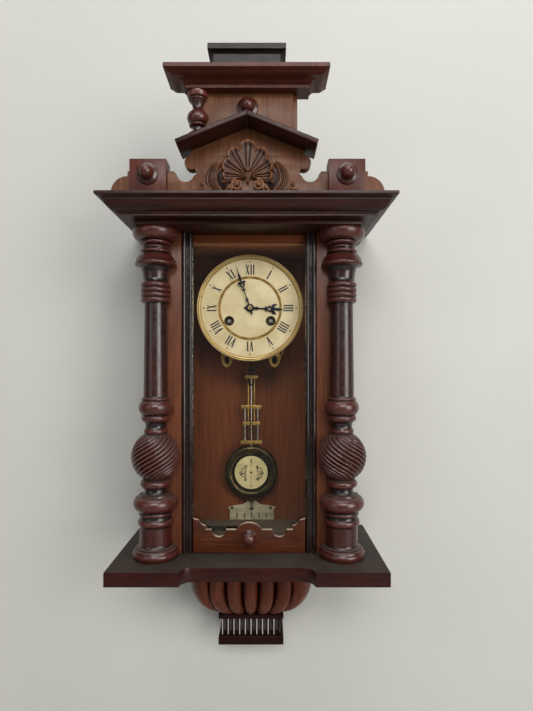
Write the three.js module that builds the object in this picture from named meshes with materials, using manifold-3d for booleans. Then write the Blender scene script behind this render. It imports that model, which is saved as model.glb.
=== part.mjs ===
// Spring-driven wall regulator clock with a gabled crest, two turned columns and a glazed door.
// Millimetres, +Z up, +X to the viewer's right. The wall is the plane Y = 0 and the clock stands
// out from it towards -Y. The origin is the middle of the back board's rear face.
import * as THREE from 'three';
import { mergeVertices } from 'three/addons/utils/BufferGeometryUtils.js';
import Module from 'manifold-3d';

const wasm = await Module();
wasm.setup();

// ---------------------------------------------------------------- driving dimensions
const GAP = 0.3; // clearance kept between pieces that touch

// case
const CASE_HALF_WIDTH = 138;
const CASE_HALF_HEIGHT = 227.5;
const BACK_THICKNESS = 20;
const SIDE_THICKNESS = 12;
const PANEL_THICKNESS = 15; // case floor and case top
const FACE_Y = -131; // front plane of the stiles and the door
const STILE_THICKNESS = 18;

// columns
const COLUMN_X = 130;
const COLUMN_AXIS_Y = -138.5;

// base shelf and corbel
const SHELF_HALF_WIDTH = 185;
const SHELF_DEPTH = 195;
const SHELF_THICKNESS = 19.5;
const SHELF_RECESS = 16; // depth and corner radius of the set-back middle
const SHELF_RECESS_HALF_WIDTH = 72;
const CORBEL_TOP_HALF_WIDTH = 99;
const CORBEL_BOTTOM_HALF_WIDTH = 49;
const CORBEL_HEIGHT = 103;
const DROP_HEIGHT = 49;
const DROP_HALF_WIDTH = 51;
const DROP_DEPTH = 54;

// door
const DOOR_HALF_WIDTH = 95;
const DOOR_STILE = 15; // face width of the frame
const PIVOT_INSET = 4; // pivot pin axis from the door's face and from its edge
const PIVOT_RADIUS = 1.5;

// cornice and crest
const FRIEZE_HALF_WIDTH = 152;
const FRIEZE_DEPTH = 172;
const FRIEZE_THICKNESS = 6;
const CORNICE_HEIGHT = 25;
const CREST_FRONT_Y = -176;
const CREST_THICKNESS = 15;
const BLOCK_X = 130;
const BLOCK_HALF_WIDTH = 24;
const BLOCK_TOP_Z = 308.5;
const GABLE_APEX_Z = 360.5;
const GABLE_END_X = 91;
const GABLE_END_Z = 323.5;
const GABLE_SLAT_THICKNESS = 5.8;
const GABLE_FRONT_Y = -210;
const TOWER_HALF_WIDTH = 66;
const TOWER_TOP_Z = 399.5;
const TOWER_CORNICE_HEIGHT = 19;
const CAP_BLOCK_HEIGHT = 21.5;
const CAP_SLAB_HEIGHT = 8;

// movement
const DIAL_Z = 124.3;
const DIAL_FACE_Y = -95;
const BEZEL_OUTER_RADIUS = 79;
const BEZEL_INNER_RADIUS = 72.5;
const WINDING_X = 30.7;
const WINDING_DROP = 19; // winding arbors below the dial's centre
const FRONT_PLATE_Y = -84; // front face
const BACK_PLATE_Y = -50; // rear face
const PLATE_THICKNESS = 2;
const PLATE_HALF_WIDTH = 54;
const PLATE_BOTTOM_Z = 70;
const PLATE_TOP_Z = 183;
const THIRD_X = 16; // third arbor, right of and above the dial's centre
const THIRD_RISE = 23.6;
const ESCAPE_RISE = 35.5; // escape arbor above the dial's centre
const SUSPENSION_Z = 176.8; // pallet arbor and pendulum suspension, on one axis
const MINUTE_WHEEL_OFFSET = 11.5; // left of and above the dial's centre
const HAMMER_X = -44;
const HAMMER_Z = 150;
const GONG_OUTER_RADIUS = 42;
const BRACKET_X = 36.5;

// pendulum
const PENDULUM_Y = -40;
const BOB_RADIUS = 42.35;
const BOB_Z = -130.5;

// derived places
const TOP_Z = CASE_HALF_HEIGHT;
const BOTTOM_Z = -CASE_HALF_HEIGHT;
const BACK_FRONT_Y = -BACK_THICKNESS;
const STILE_BACK_Y = FACE_Y + STILE_THICKNESS;
const SIDE_FRONT_Y = STILE_BACK_Y + GAP;
const SIDE_BACK_Y = BACK_FRONT_Y - GAP;
const SIDE_INNER_X = CASE_HALF_WIDTH - SIDE_THICKNESS;
const STILE_INNER_X = DOOR_HALF_WIDTH + 0.6;
const FLOOR_TOP_Z = BOTTOM_Z + PANEL_THICKNESS;
const SHELF_BOTTOM_Z = BOTTOM_Z - SHELF_THICKNESS;
const CORBEL_BOTTOM_Z = SHELF_BOTTOM_Z - CORBEL_HEIGHT;
const DROP_BOTTOM_Z = CORBEL_BOTTOM_Z - DROP_HEIGHT;
const CORNICE_BOTTOM_Z = TOP_Z + FRIEZE_THICKNESS;
const CORNICE_TOP_Z = CORNICE_BOTTOM_Z + CORNICE_HEIGHT;
const CREST_BACK_Y = CREST_FRONT_Y + CREST_THICKNESS;
const GABLE_SLOPE = (GABLE_APEX_Z - GABLE_END_Z) / GABLE_END_X;
const GABLE_PLUMB = GABLE_SLAT_THICKNESS * Math.hypot(1, GABLE_SLOPE); // measured upright
const TOWER_CORNICE_TOP_Z = TOWER_TOP_Z + TOWER_CORNICE_HEIGHT;
const PIVOT_X = DOOR_HALF_WIDTH - PIVOT_INSET;
const PIVOT_Y = FACE_Y + PIVOT_INSET;
const WINDING_Z = DIAL_Z - WINDING_DROP;
const THIRD_Z = DIAL_Z + THIRD_RISE;
const ESCAPE_Z = DIAL_Z + ESCAPE_RISE;

// ---------------------------------------------------------------- materials
function finish(color, roughness, metalness = 0) {
  return new THREE.MeshStandardMaterial({ color, roughness, metalness });
}
const darkWalnut = finish(0x3a1a12, 0.35);
const brownWalnut = finish(0x5a3220, 0.45);
const ebonised = finish(0x17110f, 0.4);
const carvedWood = finish(0x6b4226, 0.5);
const glass = finish(0xdfe6e6, 0.05);
const brass = finish(0xb08a45, 0.35, 1);
const steel = finish(0x3a3c42, 0.35, 1);
const iron = finish(0x2b2522, 0.6, 1);
const enamel = finish(0xe6d9b8, 0.4);

// ---------------------------------------------------------------- shape helpers
function toManifold(geometry) {
  const bare = geometry.clone();
  bare.deleteAttribute('normal');
  bare.deleteAttribute('uv');
  const merged = mergeVertices(bare, 1e-4);
  const vertProperties = new Float32Array(merged.attributes.position.array);
  const triVerts = new Uint32Array(merged.index.array);
  return new wasm.Manifold(new wasm.Mesh({ numProp: 3, vertProperties, triVerts }));
}

function fromManifold(manifold) {
  const mesh = manifold.getMesh();
  const geometry = new THREE.BufferGeometry();
  geometry.setAttribute('position', new THREE.BufferAttribute(mesh.vertProperties, 3));
  geometry.setIndex(new THREE.BufferAttribute(mesh.triVerts, 1));
  geometry.computeVertexNormals();
  return geometry;
}

function cut(geometry, ...tools) {
  const solid = tools.reduce((left, tool) => left.subtract(toManifold(tool)), toManifold(geometry));
  return fromManifold(solid);
}

function join(geometry, ...others) {
  const solid = others.reduce((sum, other) => sum.add(toManifold(other)), toManifold(geometry));
  return fromManifold(solid);
}

function common(geometry, other) {
  return fromManifold(toManifold(geometry).intersect(toManifold(other)));
}

function moved(geometry, x, y, z) {
  return geometry.clone().translate(x, y, z);
}

function box(x0, x1, y0, y1, z0, z1) {
  const geometry = new THREE.BoxGeometry(x1 - x0, y1 - y0, z1 - z0);
  return geometry.translate((x0 + x1) / 2, (y0 + y1) / 2, (z0 + z1) / 2);
}

function outline(points) {
  return new THREE.Shape(points.map(([a, b]) => new THREE.Vector2(a, b)));
}

function arc(centreA, centreB, radius, startDegrees, endDegrees, steps) {
  const points = [];
  for (let i = 0; i <= steps; i++) {
    const angle = THREE.MathUtils.degToRad(startDegrees + (endDegrees - startDegrees) * i / steps);
    points.push([centreA + radius * Math.cos(angle), centreB + radius * Math.sin(angle)]);
  }
  return points;
}

// Upright board: an outline in X and Z, from its front plane to its back plane.
function board(shape, yFront, yBack) {
  const geometry = new THREE.ExtrudeGeometry(shape, { depth: yBack - yFront, bevelEnabled: false });
  geometry.rotateX(Math.PI / 2);
  return geometry.translate(0, yBack, 0);
}

// Level board: an outline in X and Y, from z0 up to z1.
function slab(shape, z0, z1) {
  const geometry = new THREE.ExtrudeGeometry(shape, { depth: z1 - z0, bevelEnabled: false });
  return geometry.translate(0, 0, z0);
}

// Moulding: an outline in Y and Z, run along X.
function run(shape, x0, x1) {
  const geometry = new THREE.ExtrudeGeometry(shape, { depth: x1 - x0, bevelEnabled: false });
  const toYZX = new THREE.Matrix4().makeBasis(
    new THREE.Vector3(0, 1, 0), new THREE.Vector3(0, 0, 1), new THREE.Vector3(1, 0, 0));
  geometry.applyMatrix4(toYZX);
  return geometry.translate(x0, 0, 0);
}

// Turned piece about the Z axis: [radius, height] from the bottom up.
function turned(profile, segments) {
  const points = profile.map(([radius, height]) => new THREE.Vector2(radius, height));
  return new THREE.LatheGeometry(points, segments).rotateX(Math.PI / 2);
}

// Turned piece that points forwards: [radius, distance towards -Y].
function turnedForward(profile, segments) {
  return turned(profile, segments).rotateX(Math.PI / 2);
}

function rod(radius, yFront, yBack, segments = 12, x = 0, z = 0) {
  const geometry = new THREE.CylinderGeometry(radius, radius, yBack - yFront, segments);
  return geometry.translate(x, (yFront + yBack) / 2, z);
}

function upright(radius, z0, z1, segments = 12) {
  const geometry = new THREE.CylinderGeometry(radius, radius, z1 - z0, segments).rotateX(Math.PI / 2);
  return geometry.translate(0, 0, (z0 + z1) / 2);
}

// Stack of level rings with the same number of [x, y, z] points, counter-clockwise from above.
function loft(rings) {
  const count = rings[0].length;
  const positions = rings.flat(2);
  const index = [];
  for (let ring = 0; ring + 1 < rings.length; ring++) {
    for (let i = 0; i < count; i++) {
      const a = ring * count + i;
      const b = ring * count + (i + 1) % count;
      index.push(a, b, b + count, a, b + count, a + count);
    }
  }
  const ends = [[0, -1], [rings.length - 1, 1]];
  for (const [ring, side] of ends) {
    const centre = [0, 1, 2].map((k) => rings[ring].reduce((sum, p) => sum + p[k], 0) / count);
    const hub = positions.length / 3;
    positions.push(...centre);
    for (let i = 0; i < count; i++) {
      const a = ring * count + i;
      const b = ring * count + (i + 1) % count;
      index.push(hub, side > 0 ? a : b, side > 0 ? b : a);
    }
  }
  const geometry = new THREE.BufferGeometry();
  geometry.setAttribute('position', new THREE.Float32BufferAttribute(positions, 3));
  geometry.setIndex(index);
  geometry.computeVertexNormals();
  return geometry;
}

// Moulded board with mitred front and sides: [half width, front distance, height] upwards.
function mitred(profile, yBack) {
  return loft(profile.map(([half, front, z]) => [
    [-half, yBack, z], [-half, -front, z], [half, -front, z], [half, yBack, z]]));
}

// Toothed wheel about the Y axis.
function wheel(radius, teeth, yFront, yBack) {
  const points = [];
  for (let i = 0; i < teeth * 2; i++) {
    const reach = i % 2 === 0 ? radius : radius * 0.92;
    const angle = Math.PI * i / teeth;
    points.push([reach * Math.cos(angle), reach * Math.sin(angle)]);
  }
  return board(outline(points), yFront, yBack);
}

const clock = new THREE.Group();

function add(name, geometry, material, x = 0, y = 0, z = 0) {
  const mesh = new THREE.Mesh(geometry, material);
  mesh.name = name;
  mesh.position.set(x, y, z);
  clock.add(mesh);
}

// ---------------------------------------------------------------- case
function makeBackBoard() {
  const plank = box(-CASE_HALF_WIDTH, CASE_HALF_WIDTH, BACK_FRONT_Y, 0, BOTTOM_Z + GAP, TOP_Z - GAP);
  const plateRecess = box(-22, 22, -3, 1, 180, 216);
  const hookPocket = box(-10, 10, -9, 1, 186, 206);
  return cut(plank, plateRecess, hookPocket);
}

function makeHangerPlate() {
  const shape = outline([[-21.7, 180.3], [21.7, 180.3], [21.7, 215.7], [-21.7, 215.7]]);
  const keyhole = [...arc(0, 192, 5, 120, 420, 10), ...arc(0, 203, 2.5, 0, 180, 6)];
  shape.holes.push(new THREE.Path(keyhole.map(([a, b]) => new THREE.Vector2(a, b))));
  return board(shape, -2.7, -GAP);
}

function makeSideFrame(side) {
  const rail = 22;
  const shape = outline([
    [SIDE_FRONT_Y, BOTTOM_Z + GAP], [SIDE_BACK_Y, BOTTOM_Z + GAP],
    [SIDE_BACK_Y, TOP_Z - GAP], [SIDE_FRONT_Y, TOP_Z - GAP]]);
  const windowBottom = FLOOR_TOP_Z + rail;
  const windowTop = TOP_Z - PANEL_THICKNESS - rail;
  const window = [
    [SIDE_FRONT_Y + rail, windowBottom], [SIDE_BACK_Y - rail, windowBottom],
    [SIDE_BACK_Y - rail, windowTop], [SIDE_FRONT_Y + rail, windowTop]];
  shape.holes.push(new THREE.Path(window.map(([a, b]) => new THREE.Vector2(a, b))));
  const inner = side * SIDE_INNER_X;
  const outer = side * CASE_HALF_WIDTH;
  return run(shape, Math.min(inner, outer), Math.max(inner, outer));
}

function makeSideGlass(side) {
  const near = side * (SIDE_INNER_X - GAP);
  const far = side * (SIDE_INNER_X - GAP - 2);
  const cover = 17;
  return box(Math.min(near, far), Math.max(near, far), SIDE_FRONT_Y + cover, SIDE_BACK_Y - cover,
    FLOOR_TOP_Z + cover, TOP_Z - PANEL_THICKNESS - cover);
}

function makeCasePanel(z0) {
  const half = SIDE_INNER_X - GAP;
  return box(-half, half, SIDE_FRONT_Y, SIDE_BACK_Y, z0 + GAP, z0 + PANEL_THICKNESS);
}

function makeFrontStile(side) {
  const inner = side * STILE_INNER_X;
  const outer = side * CASE_HALF_WIDTH;
  return box(Math.min(inner, outer), Math.max(inner, outer), FACE_Y, STILE_BACK_Y,
    BOTTOM_Z + GAP, TOP_Z - GAP);
}

// Column profile: [radius, height above the shelf].
const COLUMN_PROFILE = [
  [0, 0], [27, 0], [31.5, 6], [31.5, 13], [26, 19], [25, 24], [22, 25.5], [22, 44.5], [24.5, 46],
  [24.5, 53], [22, 55], [22.5, 61], [31.4, 71], [31.4, 77], [23, 86], [15.6, 90], [15.6, 95],
  [21.5, 98], [21.5, 107], [26, 113], [32, 125], [33.9, 139], [31, 154], [24, 166], [16.5, 171],
  [16.5, 178], [14.2, 183], [20, 190], [20, 198], [23.7, 205], [22, 214], [19.5, 221], [16.5, 224],
  [15.6, 352], [21, 356], [21, 382], [18.5, 384], [18.6, 397], [29.2, 409], [29.2, 411],
  [21.4, 423], [21.4, 427], [16.5, 429], [18, 433], [22, 437], [27, 445], [32.2, 454.4], [0, 454.4]];

function makeColumn() {
  const whole = moved(turned(COLUMN_PROFILE, 20), 0, COLUMN_AXIS_Y, BOTTOM_Z + GAP);
  const behindFace = box(-60, 60, FACE_Y - GAP, 0, BOTTOM_Z - 1, TOP_Z + 1);
  return cut(whole, behindFace);
}

function makeBaseShelf() {
  const inner = SHELF_RECESS_HALF_WIDTH;
  const front = -SHELF_DEPTH;
  const shape = outline([
    [-SHELF_HALF_WIDTH, 0], [-SHELF_HALF_WIDTH, front],
    ...arc(-inner, front, SHELF_RECESS, 180, 90, 6),
    ...arc(inner, front, SHELF_RECESS, 90, 0, 6),
    [SHELF_HALF_WIDTH, front], [SHELF_HALF_WIDTH, 0]]);
  return slab(shape, SHELF_BOTTOM_Z, BOTTOM_Z);
}

// Half-round bowl with seven raised lobes, narrowing downwards in a quarter curve.
function makeCorbelBowl() {
  const lobes = 7;
  const stepsPerLobe = 4;
  const roundShare = 0.5; // the quarter round takes up this share of the height
  const squareness = 0.5; // 1 gives an oval plan, less gives fuller corners
  const turns = [0, 15, 30, 45, 60, 75, 90]; // degrees round the quarter round, from its foot
  const heights = [...turns.map((turn) => roundShare * (1 - Math.cos(THREE.MathUtils.degToRad(turn)))), 1];
  const rings = [];
  for (const t of heights) {
    const swell = Math.sqrt(1 - (1 - Math.min(t / roundShare, 1)) ** 2);
    const half = THREE.MathUtils.lerp(CORBEL_BOTTOM_HALF_WIDTH, CORBEL_TOP_HALF_WIDTH, swell);
    const depth = THREE.MathUtils.lerp(50, 88, swell);
    const z = THREE.MathUtils.lerp(CORBEL_BOTTOM_Z, SHELF_BOTTOM_Z - GAP, t);
    const ring = [];
    for (let i = 0; i <= lobes * stepsPerLobe; i++) {
      const along = i / (lobes * stepsPerLobe);
      const angle = Math.PI * (1 + along);
      const relief = 1 - 0.07 * (1 - Math.abs(Math.sin(Math.PI * along * lobes)));
      const flat = (value) => Math.sign(value) * Math.abs(value) ** squareness;
      ring.push([half * relief * flat(Math.cos(angle)), depth * relief * flat(Math.sin(angle)), z]);
    }
    rings.push(ring);
  }
  return loft(rings);
}

function makeCorbelDrop() {
  const top = CORBEL_BOTTOM_Z - GAP;
  const half = DROP_HALF_WIDTH;
  return mitred([
    [half, DROP_DEPTH, DROP_BOTTOM_Z], [half - 0.7, DROP_DEPTH - 0.7, DROP_BOTTOM_Z + 14.5],
    [half - 2, DROP_DEPTH - 2, DROP_BOTTOM_Z + 15.5], [half - 4.5, DROP_DEPTH - 4.5, top - 9],
    [half, DROP_DEPTH, top - 8], [half, DROP_DEPTH, top]], 0);
}

for (const [side, label] of [[-1, 'left'], [1, 'right']]) {
  add(`side_frame_${label}`, makeSideFrame(side), brownWalnut);
  add(`side_glass_${label}`, makeSideGlass(side), glass);
  add(`front_stile_${label}`, makeFrontStile(side), brownWalnut);
  add(`column_${label}`, makeColumn(), darkWalnut, side * COLUMN_X);
}
add('back_board', makeBackBoard(), brownWalnut);
add('hanger_plate', makeHangerPlate(), iron);
add('case_floor', makeCasePanel(BOTTOM_Z), brownWalnut);
add('case_top', makeCasePanel(TOP_Z - PANEL_THICKNESS - GAP), brownWalnut);
add('base_shelf', makeBaseShelf(), darkWalnut);
add('corbel_bowl', makeCorbelBowl(), darkWalnut);
add('corbel_drop', makeCorbelDrop(), ebonised);

// ---------------------------------------------------------------- cornice and crest
function makeFrieze() {
  const plank = box(-FRIEZE_HALF_WIDTH, FRIEZE_HALF_WIDTH, -FRIEZE_DEPTH, 0, TOP_Z, CORNICE_BOTTOM_Z - GAP);
  return cut(plank, moved(upright(PIVOT_RADIUS + GAP, TOP_Z - 1, TOP_Z + 3.5), PIVOT_X, PIVOT_Y, 0));
}

function makeCornice() {
  const z = CORNICE_BOTTOM_Z;
  return mitred([
    [169, 189, z], [169, 189, z + 3], [172, 192, z + 4.5], [176, 196, z + 10], [183, 203, z + 16],
    [190, 210, z + 19.5], [192, 212, z + 21], [192, 212, z + 25]], 0);
}

// One half of the crest board's top edge, from the middle outwards: [x, z].
function crestHalf() {
  const gableZ = (x) => GABLE_APEX_Z - GABLE_PLUMB - GAP - GABLE_SLOPE * x;
  return [
    [75, gableZ(75)], [75, 318],
    ...arc(74.5, 308, 9.5, 80, -115, 8),
    [68, 293.5],
    ...arc(82.7, 293.5, 11.5, 200, 350, 6),
    [97.7, 296.3], [159.4, 296.3],
    ...arc(159.4, 267.6, 22.4, 90, 0, 6),
    [181.8, CORNICE_TOP_Z + GAP]];
}

function makeCrestBoard() {
  const half = crestHalf();
  const left = half.map(([x, z]) => [-x, z]).reverse();
  const apex = [0, GABLE_APEX_Z - GABLE_PLUMB - GAP];
  return board(outline([...left, apex, ...half].reverse()), CREST_FRONT_Y, CREST_BACK_Y);
}

add('frieze', makeFrieze(), ebonised);
add('cornice', makeCornice(), darkWalnut);
add('crest_board', makeCrestBoard(), darkWalnut);

function makeCrestBlock() {
  const over = 296.3 + GAP; // rebated over the crest board's top edge
  const back = CREST_BACK_Y + 2;
  const shape = outline([
    [CREST_FRONT_Y - GAP, CORNICE_TOP_Z + GAP], [CREST_FRONT_Y - GAP, over], [back, over],
    [back, BLOCK_TOP_Z], [CREST_FRONT_Y - 11, BLOCK_TOP_Z], [CREST_FRONT_Y - 11, CORNICE_TOP_Z + GAP]]);
  return run(shape, -BLOCK_HALF_WIDTH, BLOCK_HALF_WIDTH);
}

const KNOB_PROFILE = [
  [0, 0], [12.5, 0], [13, 2], [12, 4], [9.8, 4.6], [8.6, 6], [9.5, 8.5], [9.2, 12], [7, 15], [3.5, 16.8],
  [0, 17.2]];

// One sloping roof board, cut upright where it meets its pair at the ridge.
function makeGableSlat(side) {
  const near = side * GAP;
  const far = side * GABLE_END_X;
  const angle = Math.atan(GABLE_SLOPE); // the eaves end is cut square to the slope
  const underX = far - side * GABLE_SLAT_THICKNESS * Math.sin(angle);
  const underZ = GABLE_END_Z - GABLE_SLAT_THICKNESS * Math.cos(angle);
  const shape = outline([
    [near, GABLE_APEX_Z], [far, GABLE_END_Z], [underX, underZ], [near, GABLE_APEX_Z - GABLE_PLUMB]]);
  return board(shape, GABLE_FRONT_Y, CREST_BACK_Y + 1);
}

// Fan with nine ribs between two leaves, flat behind.
function makeShellCarving() {
  const ribs = 9;
  const points = [[-14, 262], [-34, 266], [-66, 283], [-52, 290], [-36, 298]];
  for (let i = 0; i <= ribs * 2; i++) {
    const angle = Math.PI * (1 - i / (ribs * 2)) * 0.9 + Math.PI * 0.05;
    const reach = i % 2 === 0 ? 30 : 34;
    points.push([reach * Math.cos(angle), 300 + reach * Math.sin(angle) * 1.06]);
  }
  points.push([36, 298], [52, 290], [66, 283], [34, 266], [14, 262]);
  return board(outline(points), CREST_FRONT_Y - 11, CREST_FRONT_Y - GAP);
}

function makeTowerBoard() {
  const lift = GAP * 1.2;
  const edgeZ = GABLE_APEX_Z - GABLE_SLOPE * TOWER_HALF_WIDTH + lift;
  const rebate = 6;
  const shape = outline([
    [-TOWER_HALF_WIDTH, edgeZ], [0, GABLE_APEX_Z + lift], [TOWER_HALF_WIDTH, edgeZ],
    [TOWER_HALF_WIDTH, TOWER_TOP_Z - GAP], [-TOWER_HALF_WIDTH, TOWER_TOP_Z - GAP]]);
  const plank = board(shape, CREST_FRONT_Y, CREST_BACK_Y);
  const strips = [-1, 1].map((side) => {
    const x = side * (TOWER_HALF_WIDTH - rebate / 2 + 1);
    return box(x - rebate / 2 - 1, x + rebate / 2 + 1, CREST_FRONT_Y - 1, CREST_FRONT_Y + 5, 320, 410);
  });
  return cut(plank, ...strips);
}

// Half baluster on the tower's left edge: [radius, height], scribed to the gable slat below it.
const BALUSTER_PROFILE = [
  [0, 328], [10, 328], [10, 340], [11.5, 343], [10, 347], [7, 350], [7, 353], [10, 355], [10, 357],
  [13, 361], [13.8, 367], [12.5, 373], [7.5, 376], [7, 380], [9, 384], [11, 388], [13.5, 392],
  [13.5, 399.2], [0, 399.2]];

function makeTowerBaluster() {
  const axisX = -TOWER_HALF_WIDTH;
  const whole = moved(turned(BALUSTER_PROFILE, 16), axisX, CREST_FRONT_Y + 1, 0);
  const behind = box(axisX - 30, axisX + 30, CREST_FRONT_Y + 5 - GAP, 0, 300, 420);
  const towerFace = box(-TOWER_HALF_WIDTH + 6 - GAP, 0, CREST_FRONT_Y - GAP, 0, 300, 420);
  const ridgeZ = GABLE_APEX_Z + GAP * 1.2;
  const slatTop = outline([[-120, 300], [0, 300], [0, ridgeZ], [-120, ridgeZ - GABLE_SLOPE * 120]]);
  const under = board(slatTop, -240, -100);
  return cut(whole, behind, towerFace, under);
}

function makeTowerCornice() {
  const z = TOWER_TOP_Z;
  return mitred([
    [81.5, 189, z], [81.5, 189, z + 5], [84, 191.5, z + 6], [92, 200, z + 8.5], [100, 208, z + 12],
    [104, 212, z + 13.5], [105, 213, z + 14], [105, 213, z + TOWER_CORNICE_HEIGHT]], CREST_BACK_Y + 1);
}

function makeTowerCap() {
  const z = TOWER_CORNICE_TOP_Z;
  const block = box(-43.7, 43.7, -199, -165, z + GAP, z + CAP_BLOCK_HEIGHT + 1);
  const slabZ = z + CAP_BLOCK_HEIGHT;
  return join(block, box(-50, 50, -205, CREST_BACK_Y, slabZ, slabZ + CAP_SLAB_HEIGHT));
}

for (const [side, label] of [[-1, 'left'], [1, 'right']]) {
  add(`crest_block_${label}`, makeCrestBlock(), darkWalnut, side * BLOCK_X);
  add(`crest_knob_${label}`, turnedForward(KNOB_PROFILE, 16), ebonised,
    side * BLOCK_X, CREST_FRONT_Y - 11 - GAP, 288.5);
  add(`gable_slat_${label}`, makeGableSlat(side), darkWalnut);
}
add('shell_carving', makeShellCarving(), carvedWood);
add('tower_board', makeTowerBoard(), brownWalnut);
add('tower_knob', turnedForward(KNOB_PROFILE, 16), ebonised, 0, CREST_FRONT_Y - GAP, 379.5);
add('tower_baluster', makeTowerBaluster(), darkWalnut);
add('tower_cornice', makeTowerCornice(), darkWalnut);
add('tower_cap', makeTowerCap(), ebonised);

// ---------------------------------------------------------------- door
const DOOR_BOTTOM_Z = BOTTOM_Z + 2 * GAP;
const DOOR_TOP_Z = TOP_Z - 2 * GAP;
const OPENING_HALF = DOOR_HALF_WIDTH - DOOR_STILE;
const GLASS_FRONT_Y = FACE_Y + 12.7;
const APRON_FRONT_Y = FACE_Y + 2;
const APRON_BACK_Y = FACE_Y + 8.7;

function makeDoorFrame() {
  const rebate = 5;
  const rebateHalf = OPENING_HALF + rebate;
  const swingRelief = 2.6; // chamfer on the rear edges, so that the pivot side clears the case as it turns
  const whole = box(-DOOR_HALF_WIDTH, DOOR_HALF_WIDTH, FACE_Y, STILE_BACK_Y, DOOR_BOTTOM_Z, DOOR_TOP_Z);
  const opening = box(-OPENING_HALF, OPENING_HALF, FACE_Y - 1, STILE_BACK_Y + 1,
    DOOR_BOTTOM_Z + DOOR_STILE, DOOR_TOP_Z - DOOR_STILE);
  const glassRebate = box(-rebateHalf, rebateHalf, GLASS_FRONT_Y - GAP, STILE_BACK_Y + 1,
    DOOR_BOTTOM_Z + DOOR_STILE - rebate, DOOR_TOP_Z - DOOR_STILE + rebate);
  const apronSeat = box(-OPENING_HALF, OPENING_HALF, FACE_Y - 1, APRON_BACK_Y + GAP,
    DOOR_BOTTOM_Z - 1, DOOR_BOTTOM_Z + DOOR_STILE + 1);
  const pinHoles = [DOOR_TOP_Z, DOOR_BOTTOM_Z].map((z) => moved(
    upright(PIVOT_RADIUS + GAP, z - 7, z + 7), PIVOT_X, PIVOT_Y, 0));
  const roundedPlan = slab(outline([
    [swingRelief - DOOR_HALF_WIDTH, STILE_BACK_Y],
    [-DOOR_HALF_WIDTH, STILE_BACK_Y - swingRelief],
    [-DOOR_HALF_WIDTH, FACE_Y],
    ...arc(PIVOT_X, PIVOT_Y, PIVOT_INSET, -90, 0, 4),
    [DOOR_HALF_WIDTH, STILE_BACK_Y - swingRelief],
    [DOOR_HALF_WIDTH - swingRelief, STILE_BACK_Y]]), DOOR_BOTTOM_Z - 1, DOOR_TOP_Z + 1);
  return common(cut(whole, opening, glassRebate, apronSeat, ...pinHoles), roundedPlan);
}

function makeDoorGlass() {
  const half = OPENING_HALF + 4.7;
  return box(-half, half, GLASS_FRONT_Y, GLASS_FRONT_Y + 2,
    DOOR_BOTTOM_Z + DOOR_STILE - 4.7, DOOR_TOP_Z - DOOR_STILE + 4.7);
}

// Fretted bottom rail. Its top edge, from the middle outwards, is given as [x, z].
function makeDoorApron() {
  const flatZ = -194;
  const half = [
    ...arc(0, flatZ - 12, 22, 84, 33, 5), [19.9, flatZ], [32.8, flatZ],
    ...arc(43, flatZ, 10.3, 205, 335, 6), [53.3, flatZ], [62.7, flatZ],
    ...arc(73, flatZ + 2, 11.5, 165, 95, 4), [OPENING_HALF - GAP, -178.5],
    [OPENING_HALF - GAP, DOOR_BOTTOM_Z]];
  const left = half.map(([x, z]) => [-x, z]).reverse();
  return board(outline([...left, ...half].reverse()), APRON_FRONT_Y, APRON_BACK_Y);
}

add('door_frame', makeDoorFrame(), ebonised);
add('door_glass', makeDoorGlass(), glass);
add('door_apron', makeDoorApron(), brownWalnut);
const DOOR_KNOB_PROFILE = [
  [0, 0], [9, 0], [9.3, 2], [8.4, 3.6], [6, 5], [5.6, 8],
  [7.4, 11], [8, 14.5], [6, 18], [3, 19.4], [0, 19.6]];
add('door_knob', turnedForward(DOOR_KNOB_PROFILE, 16), ebonised, 0, APRON_FRONT_Y - GAP, -203.5);
add('pivot_pin_upper', upright(PIVOT_RADIUS, TOP_Z - 5.5, TOP_Z + 3), brass, PIVOT_X, PIVOT_Y);
add('pivot_pin_lower', upright(PIVOT_RADIUS, BOTTOM_Z + GAP, BOTTOM_Z + 6), brass, PIVOT_X, PIVOT_Y);

// ---------------------------------------------------------------- movement
const PLATE_HOLES = [ // [radius, x, z] of the arbors that pass through both plates
  [2, 0, DIAL_Z], [3.8, -WINDING_X, WINDING_Z], [3.8, WINDING_X, WINDING_Z],
  [1.8, 0, SUSPENSION_Z], [1.4, THIRD_X, THIRD_Z], [1.4, 0, ESCAPE_Z], [2, HAMMER_X, HAMMER_Z]];

function makePlate(yFront) {
  const chamfer = 10;
  const shape = outline([
    [-PLATE_HALF_WIDTH, PLATE_BOTTOM_Z], [PLATE_HALF_WIDTH, PLATE_BOTTOM_Z],
    [PLATE_HALF_WIDTH, PLATE_TOP_Z - chamfer], [PLATE_HALF_WIDTH - chamfer, PLATE_TOP_Z],
    [-PLATE_HALF_WIDTH + chamfer, PLATE_TOP_Z], [-PLATE_HALF_WIDTH, PLATE_TOP_Z - chamfer]]);
  for (const [radius, x, z] of PLATE_HOLES) {
    const hole = arc(x, z, radius, 0, 324, 9);
    shape.holes.push(new THREE.Path(hole.map(([a, b]) => new THREE.Vector2(a, b))));
  }
  return board(shape, yFront, yFront + PLATE_THICKNESS);
}

function makeBackPlate() {
  const yFront = BACK_PLATE_Y - PLATE_THICKNESS;
  const places = [[50, PLATE_BOTTOM_Z + 4.5], [44, PLATE_TOP_Z - 7]];
  const pillars = places.flatMap(([x, z]) => [-x, x].map(
    (px) => rod(3, FRONT_PLATE_Y + PLATE_THICKNESS + GAP, yFront + 1, 8, px, z)));
  const cock = box(-9, 9, BACK_PLATE_Y - 1, PENDULUM_Y + 4, SUSPENSION_Z + 3, PLATE_TOP_Z);
  return join(makePlate(yFront), ...pillars, cock);
}

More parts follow.
